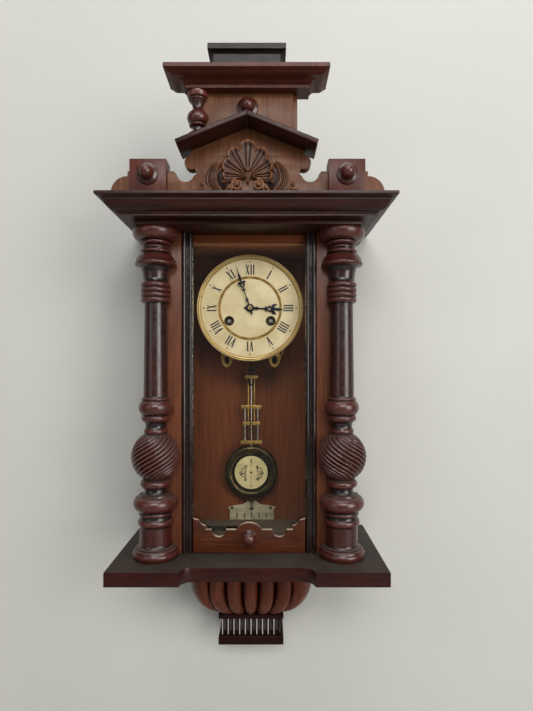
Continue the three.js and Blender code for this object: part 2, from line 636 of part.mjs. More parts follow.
function makeDialPlate() {
  const disc = outline(arc(0, DIAL_Z, BEZEL_INNER_RADIUS + 3, 0, 352.5, 47));
  const holes = [[4.2, 0, DIAL_Z], [6.5, -WINDING_X, WINDING_Z], [6.5, WINDING_X, WINDING_Z]];
  for (const [radius, x, z] of holes) {
    const hole = arc(x, z, radius, 0, 330, 11);
    disc.holes.push(new THREE.Path(hole.map(([a, b]) => new THREE.Vector2(a, b))));
  }
  const feet = [-1, 1].flatMap((sx) => [-1, 1].map(
    (sz) => rod(2.5, DIAL_FACE_Y + 1, FRONT_PLATE_Y - GAP, 8, sx * 46, DIAL_Z + sz * 38)));
  return join(board(disc, DIAL_FACE_Y, DIAL_FACE_Y + 1.5), ...feet);
}

function makeBezel() {
  const inner = BEZEL_INNER_RADIUS;
  const outer = BEZEL_OUTER_RADIUS;
  return turnedForward([
    [inner, 0], [outer, 0], [outer, 2], [outer - 1.5, 3.4], [outer - 3.4, 4], [inner + 1, 1.6],
    [inner, 1.4], [inner, 0]], 40);
}

// Arm from the back board that carries the plates, ending in an upright oval eye in front.
function makeBracket() {
  const eyeZ = 50;
  const arm = run(outline([
    [BACK_FRONT_Y - GAP, 44], [BACK_FRONT_Y - GAP, PLATE_BOTTOM_Z - GAP],
    [FRONT_PLATE_Y, PLATE_BOTTOM_Z - GAP], [FRONT_PLATE_Y, 61],
    [-28, 61], [-24, 58], [-24, 44]]), -4.5, 4.5);
  const eye = outline(arc(0, 0, 1, 0, 345, 23).map(([x, z]) => [9.2 * x, eyeZ + 14.3 * z]));
  const hole = arc(0, 0, 1, 0, 330, 11).map(([x, z]) => [3.6 * x, eyeZ - 3 + 6 * z]);
  eye.holes.push(new THREE.Path(hole.map(([a, b]) => new THREE.Vector2(a, b))));
  return join(arm, board(eye, -72.5, -68.5));
}

// Spring barrel with its great wheel in front: yWheel is the wheel's front face.
function makeBarrel(yWheel) {
  const drum = rod(26, yWheel + 1, -63.5, 24);
  const bore = rod(2.8, -90, -50, 10);
  return cut(join(wheel(31, 36, yWheel, yWheel + 1.5), drum), bore);
}

// Winding arbor: squared front end, ratchet wheel outside the front plate, plain rear pivot.
function makeWindingArbor() {
  const square = box(-2, 2, DIAL_FACE_Y + 0.5, FRONT_PLATE_Y - 1, -2, 2);
  return join(rod(2.5, FRONT_PLATE_Y - 2, BACK_PLATE_Y - 0.5, 10), square, wheel(8, 12, -86.5, -85.2));
}

// Centre wheel on its arbor. The arbor runs forward through the minute hand's pipe.
function makeCentreWheel() {
  return join(rod(1.2, -103, BACK_PLATE_Y - 0.5, 10), rod(1.6, FRONT_PLATE_Y, BACK_PLATE_Y - 1, 10),
    wheel(24, 32, -61.5, -60), rod(4.8, -81.3, -79, 10));
}

function makeTrainWheel(radius, teeth, yWheel, pinionRadius, yPinion) {
  return join(rod(1.1, FRONT_PLATE_Y, BACK_PLATE_Y, 8), wheel(radius, teeth, yWheel, yWheel + 1.5),
    rod(pinionRadius, yPinion, yPinion + 3, 8));
}

// Fretted hand pointing up: a tapering blade with an eye, a leaf and a short tail.
function handShape(length, width, hub, tail) {
  const half = [
    [width * 0.45, -tail], [width * 0.3, -hub * 0.9], [hub * 0.75, -hub * 0.7], [hub, 0],
    [hub * 0.75, hub * 0.7], [width * 0.35, hub * 1.1], [width * 0.3, length * 0.3],
    [width, length * 0.42], [width * 1.15, length * 0.5], [width * 0.35, length * 0.6],
    [width * 0.3, length * 0.66], [width * 0.75, length * 0.74], [width * 0.25, length * 0.84]];
  const left = half.slice().reverse().map(([x, z]) => [-x, z]);
  return outline([...half, [0, length], ...left]);
}

// The minute hand is fixed to the cannon pinion's pipe, which slips on the centre arbor.
function makeMinuteHand() {
  const blade = board(handShape(69, 3.4, 4.2, 11), -100.3, -99.4);
  const pipe = rod(1.9, -102.2, -85.5, 10);
  const collet = rod(3.2, -102.2, -100, 12);
  const cannonPinion = rod(4, -88, -85.5, 10);
  return cut(join(blade, pipe, collet, cannonPinion), rod(1.5, -104, -80, 10));
}

// The hour hand's pipe turns round the minute pipe and carries the hour wheel behind the dial.
function makeHourHand() {
  const pipe = rod(3.6, -98.4, -90, 12);
  const blade = board(handShape(51, 5, 6, 9), -97.8, -96.8);
  return cut(join(blade, pipe, wheel(13, 26, -91.5, -90)), rod(2.2, -104, -80, 10));
}

function makeMinuteWheel() {
  return join(rod(1, -92, FRONT_PLATE_Y - GAP, 8), wheel(11.9, 24, -88, -86.6), rod(3, -91.5, -89.5, 8));
}

// Recoil anchor on its arbor, with the crutch that drives the pendulum rod. Origin on the arbor.
function makeAnchor() {
  const arbor = rod(1.2, FRONT_PLATE_Y, -44.5, 8);
  const claw = board(outline([
    [3, 2], [-3, 2], [-14, -7], [-13.2, -10.5], [-11.4, -9.2], [-2.4, -2.6], [2.4, -2.6], [11.4, -9.2],
    [13.2, -10.5], [14, -7]]), -58, -55);
  const reach = SUSPENSION_Z - 33;
  const stem = box(-1.2, 1.2, -46.4, -44.6, -reach, 1);
  const fork = cut(box(-5, 5, -46.4, PENDULUM_Y + 3, -reach - 3, -reach + 1),
    box(-1.9, 1.9, PENDULUM_Y - 2.5, PENDULUM_Y + 4, -reach - 4, -reach + 2));
  return join(arbor, claw, stem, fork);
}

function makeHammer() {
  const arbor = rod(1.5, FRONT_PLATE_Y, -28, 8);
  const arm = box(-1.5, 1.5, -32, -29, -40, 0);
  const head = rod(4, -35, -27, 12, -4.5, -42);
  const link = box(-5, 1.5, -32, -29, -42, -39);
  return join(arbor, arm, link, head);
}

class GongSpiral extends THREE.Curve {
  getPoint(t) {
    const turns = 3.5;
    const radius = THREE.MathUtils.lerp(GONG_OUTER_RADIUS, 12, t);
    const angle = Math.PI * (0.5 + 2 * turns * t);
    return new THREE.Vector3(radius * Math.cos(angle), -29, radius * Math.sin(angle));
  }
}

function makeGong() {
  const wire = outline(arc(0, 0, 1.9, 45, 315, 3));
  const coil = new THREE.ExtrudeGeometry(wire, { steps: 80, extrudePath: new GongSpiral() });
  return join(coil, rod(7, -34, BACK_FRONT_Y - GAP, 12), box(-13, 0, -31.5, -26.5, -4, 4));
}

add('front_plate', makePlate(FRONT_PLATE_Y), brass);
add('back_plate', makeBackPlate(), brass);
add('dial_plate', makeDialPlate(), enamel);
add('dial_bezel', makeBezel(), brass, 0, DIAL_FACE_Y - GAP, DIAL_Z);
add('movement_bracket_left', makeBracket(), brass, -BRACKET_X);
add('movement_bracket_right', makeBracket(), brass, BRACKET_X);
add('time_barrel', makeBarrel(-81), brass, WINDING_X, 0, WINDING_Z);
add('strike_barrel', makeBarrel(-78.5), brass, -WINDING_X, 0, WINDING_Z);
add('time_arbor', makeWindingArbor(), steel, WINDING_X, 0, WINDING_Z);
add('strike_arbor', makeWindingArbor(), steel, -WINDING_X, 0, WINDING_Z);
add('centre_wheel', makeCentreWheel(), brass, 0, 0, DIAL_Z);
add('third_wheel', makeTrainWheel(16, 24, -66, 3.9, -62.6), brass, THIRD_X, 0, THIRD_Z);
add('escape_wheel', makeTrainWheel(12, 15, -57.5, 3.4, -67), brass, 0, 0, ESCAPE_Z);
add('minute_wheel', makeMinuteWheel(), brass, -MINUTE_WHEEL_OFFSET, 0, DIAL_Z + MINUTE_WHEEL_OFFSET);
add('pallet_anchor', makeAnchor(), steel, 0, 0, SUSPENSION_Z);
add('strike_hammer', makeHammer(), steel, HAMMER_X, 0, HAMMER_Z);
add('gong_coil', makeGong(), steel, 0, 0, DIAL_Z);
const MINUTE_ANGLE = THREE.MathUtils.degToRad(-18.6); // clockwise from twelve: about 57 minutes
const HOUR_ANGLE = THREE.MathUtils.degToRad(92.5); // just past three
function addHand(name, geometry, angle) {
  add(name, geometry.rotateY(angle), steel, 0, 0, DIAL_Z);
}
addHand('minute_hand', makeMinuteHand(), MINUTE_ANGLE);
addHand('hour_hand', makeHourHand(), HOUR_ANGLE);

// ---------------------------------------------------------------- pendulum
const ROD_RADIUS = 1.2;
const ROD_END_Z = -187;
const GRID_BARS = [[11.4, 21], [16.3, -27], [13.5, -53], [17, -83]]; // [half width, height]
const BAR_HALF_HEIGHT = 2.7;

function makePendulumFrame() {
  const y = PENDULUM_Y;
  const tube = (radius, x, z0, z1) => moved(upright(radius, z0, z1, 8), x, y, 0);
  const [bar1, bar2, , bar4] = GRID_BARS;
  const bars = GRID_BARS.map(
    ([half, z]) => box(-half, half, y - 2, y + 2, z - BAR_HALF_HEIGHT, z + BAR_HALF_HEIGHT));
  const blade = box(-3, 3, y - 0.4, y + 0.4, 158, SUSPENSION_Z + 2.6);
  const rods = [tube(ROD_RADIUS, 0, bar4[1], 160), tube(ROD_RADIUS, 0, ROD_END_Z, bar4[1] + 1)];
  for (const side of [-1, 1]) {
    rods.push(tube(1.6, side * 4.8, bar4[1], bar1[1]), tube(1.4, side * 10.2, bar4[1], bar2[1]));
  }
  return join(blade, ...bars, ...rods);
}

function makeBob() {
  const lens = turnedForward([
    [0, -7], [28, -6], [38, -3.4], [BOB_RADIUS, -1], [BOB_RADIUS, 1], [38, 3.4], [28, 6], [0, 7]], 36);
  return cut(lens, upright(ROD_RADIUS + GAP, -50, 50, 8));
}

function makeRatingNut() {
  const top = BOB_Z - BOB_RADIUS - 0.55;
  const thickness = 4.6;
  return cut(upright(4.6, top - thickness, top, 14), upright(ROD_RADIUS + GAP, top - 10, top + 10, 8));
}

add('pendulum_frame', makePendulumFrame(), brass);
add('pendulum_bob', makeBob(), brass, 0, PENDULUM_Y, BOB_Z);
add('rating_nut', makeRatingNut(), brass, 0, PENDULUM_Y);

// ---------------------------------------------------------------- loose in the case
function makeBeatScale() {
  const bottom = FLOOR_TOP_Z + GAP;
  const half = [
    [5, -181], ...arc(17, -176, 13, 215, 290, 5), [31, -190], [39, -192.1], [35.5, -198], [36, bottom]];
  const left = half.map(([x, z]) => [-x, z]).reverse();
  return board(outline([...left, ...half].reverse()), BACK_FRONT_Y - GAP - 1.6, BACK_FRONT_Y - GAP);
}

function makeWindingKey() {
  const pipe = rod(3.4, 0, 32, 10).rotateZ(Math.PI / 2).translate(0, 0, 3.4);
  const wing = slab(outline(arc(11, 0, 13, 0, 330, 11).map(([x, y]) => [x, y * 0.8])), 1.9, 4.9);
  const eye = moved(upright(5, 0, 9, 10), 13, 0, 0);
  return cut(join(wing, pipe), eye, box(-40, 40, -20, 20, -2, 0));
}

add('beat_scale', makeBeatScale(), enamel);
add('winding_key', makeWindingKey(), iron, -33, -76, FLOOR_TOP_Z + GAP);

export default clock;
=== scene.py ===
# %% [markdown]
# # A spring-driven wall regulator, dressed piece by piece
#
# The clock hangs on a wall: a glazed case between two turned columns, a gabled crest above and a
# carved corbel below. Its joints and sizes are fixed already, so this lesson only makes the look.
# Each step says what the real piece is, how it could be made in Blender, and why this way was
# chosen. Lengths are written in millimetres and turned into Blender's metres in one place.

# %% Load the fixed frame
import math

import bmesh
import bpy
from mathutils import Matrix, Vector


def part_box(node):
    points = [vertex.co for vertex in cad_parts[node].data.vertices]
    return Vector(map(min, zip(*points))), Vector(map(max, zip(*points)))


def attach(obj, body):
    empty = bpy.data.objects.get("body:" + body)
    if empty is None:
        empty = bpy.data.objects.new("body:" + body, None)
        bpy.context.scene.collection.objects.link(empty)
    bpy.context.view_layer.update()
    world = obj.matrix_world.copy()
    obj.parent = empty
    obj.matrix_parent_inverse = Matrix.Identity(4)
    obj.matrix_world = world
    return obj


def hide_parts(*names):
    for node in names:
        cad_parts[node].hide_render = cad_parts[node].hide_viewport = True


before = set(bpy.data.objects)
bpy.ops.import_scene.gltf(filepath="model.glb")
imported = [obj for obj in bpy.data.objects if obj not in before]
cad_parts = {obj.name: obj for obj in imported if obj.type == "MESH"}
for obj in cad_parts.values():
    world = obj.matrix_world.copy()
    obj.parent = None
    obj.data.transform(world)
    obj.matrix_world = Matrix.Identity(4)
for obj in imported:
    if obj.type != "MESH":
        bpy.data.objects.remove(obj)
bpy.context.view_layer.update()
MM = 0.001


class Span:
    """The box of a fixed part, in millimetres."""

    def __init__(self, node):
        low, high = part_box(node)
        self.x0, self.y0, self.z0 = (value / MM for value in low)
        self.x1, self.y1, self.z1 = (value / MM for value in high)
        self.x, self.y, self.z = ((a + b) / 2 / MM for a, b in zip(low, high))


# %% [markdown]
# ## Camera, lights and the room
#
# The clock is seen from a little to its right, at the height of its pendulum, with a wide lens
# close up, so its shelf shows its top and its cornice shows its underside. The camera looks
# straight at the wall, so uprights stay upright, and a small lens shift frames the whole clock.

# %% Camera
LENS_LONG_SIDE = 36
camera_data = bpy.data.cameras.new("viewer")
camera_data.sensor_width = LENS_LONG_SIDE
camera_data.lens = 25.32
camera_data.shift_x = -0.0035
camera_data.shift_y = 0.0155
camera = bpy.data.objects.new("viewer", camera_data)
camera.location = (0.0282, -0.838, 0.0375)
camera.rotation_euler = (math.radians(90), 0, 0)
bpy.context.scene.collection.objects.link(camera)
bpy.context.scene.camera = camera


# %% Lights
def soft_light(name, place, aim, wide, tall, watts, colour):
    """A window or lamp: a glowing rectangle that faces its aim. Sizes are in metres."""
    data = bpy.data.lights.new(name, "AREA")
    data.shape = "RECTANGLE"
    data.size, data.size_y = wide, tall
    data.energy = watts
    data.color = colour
    lamp = bpy.data.objects.new(name, data)
    lamp.location = place
    lamp.rotation_euler = (Vector(aim) - Vector(place)).to_track_quat("-Z", "Y").to_euler()
    bpy.context.scene.collection.objects.link(lamp)


# The day comes from a large window far to the right, with a weaker one to the left. A soft light
# high in front reaches under the cornice to the dial; it hangs too high for the door's glass to
# mirror it. The room itself stays dim, because dark shellac and glass mirror it and turn grey.
AIM = (0, -0.05, 0.0)
soft_light("window_right", (2.3, -2.7, 0.55), AIM, 1.8, 2.2, 84, (1.0, 0.985, 0.965))
soft_light("window_left", (-2.1, -2.6, 0.7), AIM, 1.2, 2.0, 11, (0.97, 0.985, 1.0))
soft_light("front_high", (0.1, -2.4, 1.4), (0, -0.05, 0.1), 1.6, 0.7, 36, (1.0, 0.99, 0.97))
soft_light("ceiling", (0.0, -1.0, 2.3), (0, 0, 0.5), 2.2, 0.8, 25, (1.0, 0.995, 0.985))

world = bpy.data.worlds.new("room")
bpy.context.scene.world = world
world.use_nodes = True
world.node_tree.nodes["Background"].inputs["Color"].default_value = (0.95, 0.96, 1.0, 1)
world.node_tree.nodes["Background"].inputs["Strength"].default_value = 0.16
bpy.context.scene.view_settings.view_transform = "Standard"

# %% [markdown]
# ## Two small tools for materials
#
# Colours are written as the hex values a paint program shows. Blender mixes light in linear
# values, so one function turns a hex colour into those. A second one adds a shader node, sets its
# values and joins it to the nodes before it, which keeps every recipe below short.


# %% Colour and node helpers
def linear(hex_colour):
    parts = [int(hex_colour[i:i + 2], 16) / 255 for i in (0, 2, 4)]
    return tuple(c / 12.92 if c <= 0.04045 else ((c + 0.055) / 1.055) ** 2.4 for c in parts) + (1,)


def node(tree, kind, inputs=None, **settings):
    """Adds a shader node. An input is a plain value, or the output of another node."""
    made = tree.nodes.new("ShaderNode" + kind)
    for name, value in settings.items():
        setattr(made, name, value)
    for socket, value in (inputs or {}).items():
        if isinstance(value, bpy.types.NodeSocket):
            tree.links.new(value, made.inputs[socket])
        else:
            made.inputs[socket].default_value = value
    return made


def new_material(name, slot):
    """An empty material. Its slot is the finish of the parts list that it stands for."""
    material = bpy.data.materials.new(name)
    material.use_nodes = True
    material.node_tree.nodes.clear()
    material["slot"] = slot
    return material, material.node_tree


def mixed(tree, factor, first, second):
    """Mixes two colours. Sockets 6 and 7 are a colour mix's two inputs."""
    return node(tree, "Mix", {0: factor, 6: first, 7: second}, data_type="RGBA").outputs[2]


def stretched(tree, value, low, high, to_low=0.0, to_high=1.0):
    """Turns the range low to high into another range, and clips what is outside it."""
    inputs = {"Value": value, "From Min": low, "From Max": high, "To Min": to_low, "To Max": to_high}
    return node(tree, "MapRange", inputs).outputs["Result"]


def noise(tree, grain_mm, detail=3, along=None, rough=0.5):
    """Soft noise whose blobs are about grain_mm wide. along stretches them by x, y and z."""
    place = node(tree, "TexCoord").outputs["Object"]
    scale = [1 / (grain_mm * MM * pull) for pull in (along or (1, 1, 1))]
    place = node(tree, "Mapping", {"Vector": place, "Scale": scale}).outputs["Vector"]
    inputs = {"Vector": place, "Scale": 1.0, "Detail": detail, "Roughness": rough}
    return node(tree, "TexNoise", inputs).outputs["Fac"]


def raised(tree, height, depth_mm):
    inputs = {"Height": height, "Distance": depth_mm * MM, "Strength": 1.0}
    return node(tree, "Bump", inputs).outputs["Normal"]


def shaded(tree, **inputs):
    """Ends a material with one Principled shader."""
    named = {key.replace("_", " "): value for key, value in inputs.items()}
    shader = node(tree, "BsdfPrincipled", named)
    node(tree, "OutputMaterial", {"Surface": shader.outputs[0]})
    return shader


# %% [markdown]
# ## Wood finishes
#
# The case is walnut and stained beech under old shellac. Shellac is a clear coat: it makes the
# colour deep and gives long soft highlights, while a century of wear leaves it slightly rough.
# Real pores are 0.1 mm wide, too fine to show here, so the streaks are drawn about 1 mm wide and
# 30 times as long. Dust settles on whatever faces up, so the recipe greys those faces.


# %% Wood recipe
STREAK_MM, BAND_MM, WEAR_MM, DUST_MM = 1.6, 26, 9, 18
# the colour of the painted shade in hollows
HOLLOW_SHADE_COLOUR = "0a0504"


def wood(name, slot, dark, light, run="z", streak=1.0, gloss=0.34, wear_and_highlight=None, hollow_shade=0.0,
         dust=0.0, dust_colour="6d675f", shine=0.2, coat=0.1, pores=0.05):
    material, tree = new_material(name, slot)
    along = {"x": (30, 1, 1), "z": (1, 1, 30)}[run]
    streaks = noise(tree, streak * STREAK_MM, 4, along, 0.6)
    bands = noise(tree, BAND_MM, 2, tuple(value ** 0.35 for value in along))
    colour = mixed(tree, stretched(tree, streaks, 0.32, 0.68), linear(dark), linear(light))
    colour = mixed(tree, stretched(tree, bands, 0.35, 0.7, 0.0, 0.55), colour, linear(dark))
    # Edges are drawn paler, part rubbed wear and part painted highlight, and hollows are darkened as
    # painted shade: pointiness is 0.5 where it is flat.
    # part real wear and part painted highlight: edges, where pointiness rises above 0.5, are lightened
    if wear_and_highlight:
        edge = node(tree, "NewGeometry").outputs["Pointiness"]
        colour = mixed(tree, stretched(tree, edge, 0.505, 0.57, 0.0, 0.6), colour, linear(wear_and_highlight))
    # painted shade: hollows, where pointiness falls below 0.5, are darkened towards near black
    if hollow_shade:
        edge = node(tree, "NewGeometry").outputs["Pointiness"]
        colour = mixed(tree, stretched(tree, edge, 0.499, 0.475, 0.0, hollow_shade), colour, linear(HOLLOW_SHADE_COLOUR))
    roughness = stretched(tree, noise(tree, WEAR_MM, 3), 0.3, 0.7, gloss - 0.06, gloss + 0.12)
    if dust:
        facing = node(tree, "NewGeometry").outputs["Normal"]
        up = node(tree, "SeparateXYZ", {"Vector": facing}).outputs["Z"]
        patchy = stretched(tree, noise(tree, DUST_MM, 4), 0.25, 0.75, 0.45 * dust, dust)
        share = {0: stretched(tree, up, 0.6, 0.95), 1: patchy}
        layer = node(tree, "Math", share, operation="MULTIPLY").outputs[0]
        colour = mixed(tree, layer, colour, linear(dust_colour))
        roughness = mixed(tree, layer, roughness, (0.8, 0.8, 0.8, 1))
    shaded(tree, Base_Color=colour, Roughness=roughness, Normal=raised(tree, streaks, pores),
           Specular_IOR_Level=shine, Coat_Weight=coat, Coat_Roughness=0.22)
    return material


# Lathe work: painted shade makes its hollows nearly black, and its edges are drawn red-brown, part rubbed
# wear and part painted highlight.
walnut_turned = wood("shellacked_walnut_turned", "dark_walnut", "200a07", "4c1d15", gloss=0.28,
                     wear_and_highlight="6e3429", hollow_shade=0.92, dust=0.7, dust_colour="47403a", shine=0.45, coat=0.2,
                     pores=0.003)
# Mouldings: red-brown with the grain lying across, and a century of dust on top.
walnut_across = wood("shellacked_walnut_across", "dark_walnut", "1d0a06", "3d1a13", "x", dust=1.0,
                     dust_colour="302b26", pores=0.03)
mahogany_shelf = wood("shellacked_mahogany_shelf", "dark_walnut", "1a0604", "3c130d", "x", dust=1.0,
                      dust_colour="322e28")
mahogany_drop = wood("stained_mahogany_drop", "dark_walnut", "170604", "260c08", shine=0.1, coat=0.03)
walnut_block = wood("shellacked_walnut_block", "dark_walnut", "35170f", "5e2d1f", dust=0.8,
                    dust_colour="3c3731")
walnut_cap = wood("ebonised_walnut_cap", "dark_walnut", "150f0d", "2b1f1b", "x", dust=1.0,
                  dust_colour="38332f")
# Veneer: paler and browner, in straight upright stripes.
walnut_veneer = wood("walnut_veneer_upright", "brown_walnut", "432111", "6f3d25", streak=1.2, gloss=0.42)
# The crest's veneer is a paler copy of the upright veneer: painted light for the stronger light from above
# on the crest.
walnut_crest = wood("walnut_veneer_crest", "brown_walnut", "4b2d1d", "784d33", streak=1.4, gloss=0.45)
walnut_inside = wood("walnut_board_inside", "brown_walnut", "56290f", "7e421e", streak=1.6, gloss=0.45)
walnut_floor = wood("walnut_floor_dusty", "brown_walnut", "4b2614", "7a4729", "x", gloss=0.5, dust=1.0,
                    dust_colour="706557")
# the apron's pale dust on its up-facing edges is part dust and part painted highlight along the lit top
# edge
walnut_apron = wood("walnut_apron", "brown_walnut", "311509", "552a13", "x", dust=1.0,
                    dust_colour="a89a88")
# a paler copy of the brown walnut for the door rails: painted light that offsets the cornice's shade on
# them
walnut_rail = wood("walnut_rail", "brown_walnut", "4a2412", "763e20", "x", gloss=0.55, shine=0.1,
                   coat=0.0)
# The case's top is coloured much paler than the polished walnut: painted light, which lifts its underside
# out of the shade it hangs in.
top_painted_light = wood("top_board_painted_light", "brown_walnut", "8a5230", "b9794b", "x", gloss=0.6, coat=0.0)
# Carving: the tips of the leaves are drawn orange, part rubbed to bare wood and part painted highlight,
# and painted shade darkens the hollows.
walnut_carved = wood("carved_walnut", "carved_walnut", "33201a", "5c4032", gloss=0.36, wear_and_highlight="95603a",
                     hollow_shade=0.9)
# painted shade darkens the grooves between the lobes
mahogany_lobes = wood("carved_mahogany_lobes", "dark_walnut", "38160a", "6d3018", gloss=0.3, hollow_shade=0.85)
# Ebonised beech is stained black to pass for ebony; a little red-brown shows through the stain.
beech_black = wood("ebonised_beech", "ebonised_wood", "120807", "271410", gloss=0.2, dust=0.3, shine=0.5,
                   coat=0.3, pores=0.003)
reed_dust = wood("dusty_reed_edges", "ebonised_wood", "8d8783", "b3ada8", gloss=0.6, coat=0.0)
print("woods:", len(bpy.data.materials))

# %% [markdown]
# ## Metal, enamel, glass and ink
#
# Lacquered brass keeps its warm colour but goes patchy. The pendulum bob has lost its lacquer, so
# it is olive brown. The hands are heat-blued steel, nearly black. The dial is enamel-white card
# yellowed by smoke. Window glass is thin, so it is drawn as clear with a mirror layer that grows
# at a flat angle. Real glass bends light as well, but a 2 mm pane moves nothing that can be seen.


# %% Metal and other finishes
def metal(name, slot, dull, bright, roughness, grain_mm=7, brushed=None, depth=0.02, solid=1.0):
    material, tree = new_material(name, slot)
    patches = noise(tree, grain_mm, 4)
    scratches = noise(tree, 0.5, 2, brushed)
    colour = mixed(tree, stretched(tree, patches, 0.35, 0.65), linear(dull), linear(bright))
    rough = stretched(tree, patches, 0.3, 0.7, roughness + 0.1, roughness - 0.05)
    shaded(tree, Base_Color=colour, Metallic=solid, Roughness=rough,
           Normal=raised(tree, scratches, depth))
    return material


BRUSHED = (1, 1, 24)
# Old lacquer scatters some light, so these are a little less than fully metallic.
brass_lacquered = metal("lacquered_brass_spun", "brass", "b3955c", "cfb47a", 0.32, 30, depth=0.001,
                        solid=0.6)
brass_plate = metal("brushed_brass_plate", "brass", "8f7038", "b7954f", 0.36, brushed=BRUSHED,
                    depth=0.004, solid=0.7)
brass_olive = metal("tarnished_brass_bob", "brass", "2c2515", "584b2c", 0.3, 16, depth=0.003, solid=0.85)
steel_blued = metal("blued_steel", "blued_steel", "15171c", "2a2e38", 0.34, 4)
steel_bright = metal("drawn_steel_rod", "blued_steel", "8f8d88", "c9c6bf", 0.3, 4, BRUSHED)
iron_key = metal("cast_iron_dusty", "iron", "1b1817", "34302d", 0.55, 2, depth=0.1)


def printed_card(name, slot, pale, stained, blot_mm, shine):
    """Card or enamel that smoke has yellowed in soft clouds and specks."""
    material, tree = new_material(name, slot)
    clouds = stretched(tree, noise(tree, blot_mm, 4), 0.35, 0.75)
    colour = mixed(tree, clouds, linear(pale), linear(stained))
    specks = stretched(tree, noise(tree, 1.4, 2), 0.66, 0.76, 0.0, 0.35)
    colour = mixed(tree, specks, colour, linear("8a7650"))
    shaded(tree, Base_Color=colour, Roughness=shine, Normal=raised(tree, noise(tree, 3, 3), 0.03),
           Coat_Weight=0.2, Coat_Roughness=0.3)
    return material


dial_card = printed_card("dial_enamel_yellowed", "dial_enamel", "e6d6b1", "ccb78a", 26, 0.35)
bob_card = printed_card("bob_enamel_yellowed", "dial_enamel", "d6c794", "b9a873", 14, 0.4)
scale_card = printed_card("beat_scale_card", "dial_enamel", "bcb294", "8f8568", 10, 0.5)


def printing_ink(name):
    material, tree = new_material(name, "dial_enamel")
    worn_thin = stretched(tree, noise(tree, 2, 3), 0.35, 0.65)
    shaded(tree, Base_Color=mixed(tree, worn_thin, linear("141416"), linear("24242a")), Roughness=0.45)
    return material


ink = printing_ink("printing_ink")


def window_glass(name):
    material, tree = new_material(name, "window_glass")
    clear = node(tree, "BsdfTransparent", {"Color": linear("fefefc")})
    haze = stretched(tree, noise(tree, 40, 2), 0.3, 0.7, 0.03, 0.07)
    silver = {"Base Color": linear("e8ecea"), "Roughness": haze, "Metallic": 1.0}
    mirror = node(tree, "BsdfPrincipled", silver)
    rim = node(tree, "Fresnel", {"IOR": 1.4}).outputs[0]
    surface = node(tree, "MixShader", {0: rim, 1: clear.outputs[0], 2: mirror.outputs[0]})
    node(tree, "OutputMaterial", {"Surface": surface.outputs[0]})
    return material


glass = window_glass("old_window_glass")
print("finishes:", len(bpy.data.materials))

# %% [markdown]
# ## Making meshes
#
# Most of the clock is made by three classic shop methods, and each becomes one function: a turned
# piece is a profile spun on a lathe, a fretted board is an outline cut from a plank with its edges
# eased, and a moulding is a profile run round three sides with mitred corners. An outline is a
# short list of points. A third value in a point bows the stretch after it into an arc, so a half
# round needs two points and not twenty: 0.41 is a quarter circle and 1 is a half circle.


# %% Outlines
QUARTER = math.tan(math.pi / 8)
HALF = 1.0


def traced(points, closed=False, per_quarter=7):
    """The points of an outline, with the bowed stretches filled in. A positive bow turns left."""
    path = []
    for i, point in enumerate(points):
        start = Vector(point[:2])
        path.append(start)
        bow = point[2] if len(point) > 2 else 0
        if not bow or (i == len(points) - 1 and not closed):
            continue
        end = Vector(points[(i + 1) % len(points)][:2])
        turn = 4 * math.atan(bow)
        chord = end - start
        centre = (start + end) / 2 + Vector((-chord.y, chord.x)) / (2 * math.tan(turn / 2))
        steps = max(2, round(abs(turn) / (math.pi / 2) * per_quarter))
        for k in range(1, steps):
            path.append(centre + Matrix.Rotation(turn * k / steps, 2) @ (start - centre))
    return path


def mirrored(half):
    """A symmetrical outline from its right half, which goes up from the bottom."""
    whole = list(half[:-1] if half[-1][0] == 0 else half)
    for i in range(len(half) - 1, -1, -1):
        bow = half[i - 1][2:] if i else ()
        whole.append((-half[i][0], half[i][1], *bow))
    return whole[:-1] if half[0][0] == 0 else whole


def circle(x, z, radius):
    return [(x - radius, z, HALF), (x + radius, z, HALF)]


def oval(x, z, half_width, half_height, count=24):
    turns = [math.tau * k / count for k in range(count)]
    return [(x + half_width * math.cos(t), z + half_height * math.sin(t)) for t in turns]


# %% Pieces
def piece(name, verts, faces, material, body, stands_for=(), crease=32):
    """Makes a mesh object from millimetres, smooths it and hangs it on a body of the frame."""
    mesh = bpy.data.meshes.new(name)
    mesh.from_pydata([Vector(v) * MM for v in verts], [], faces)
    build = bmesh.new()
    build.from_mesh(mesh)
    bmesh.ops.remove_doubles(build, verts=build.verts, dist=1e-6)
    bmesh.ops.dissolve_degenerate(build, edges=build.edges, dist=1e-7)
    bmesh.ops.recalc_face_normals(build, faces=build.faces)
    build.to_mesh(mesh)
    build.free()
    mesh.materials.append(material)
    mesh.shade_smooth()
    mesh.set_sharp_from_angle(angle=math.radians(crease))
    made = bpy.data.objects.new(name, mesh)
    bpy.context.scene.collection.objects.link(made)
    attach(made, body)
    if stands_for:
        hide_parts(*stands_for)
    return made


def joined(*shapes):
    """Puts several (verts, faces) shapes into one."""
    verts, faces = [], []
    for more_verts, more_faces in shapes:
        start = len(verts)
        verts += more_verts
        faces += [[i + start for i in face] for face in more_faces]
    return verts, faces


def shifted(shape, x=0, y=0, z=0, turn=None):
    """Moves a shape, after turning it by the matrix turn."""
    verts, faces = shape
    return [(turn @ Vector(v) if turn else Vector(v)) + Vector((x, y, z)) for v in verts], faces


def skin(rings, closed_ring=True, caps=True):
    """Faces between rings of points, with the first and last ring capped."""
    count = len(rings[0])
    verts = [p for ring in rings for p in ring]
    faces = []
    for r in range(len(rings) - 1):
        for i in range(count if closed_ring else count - 1):
            a, b = r * count + i, r * count + (i + 1) % count
            faces.append([a, b, b + count, a + count])
    if caps:
        faces += [list(range(count)), list(range(len(verts) - count, len(verts)))]
    return verts, faces


FORWARD = Matrix.Rotation(math.radians(90), 3, "X")


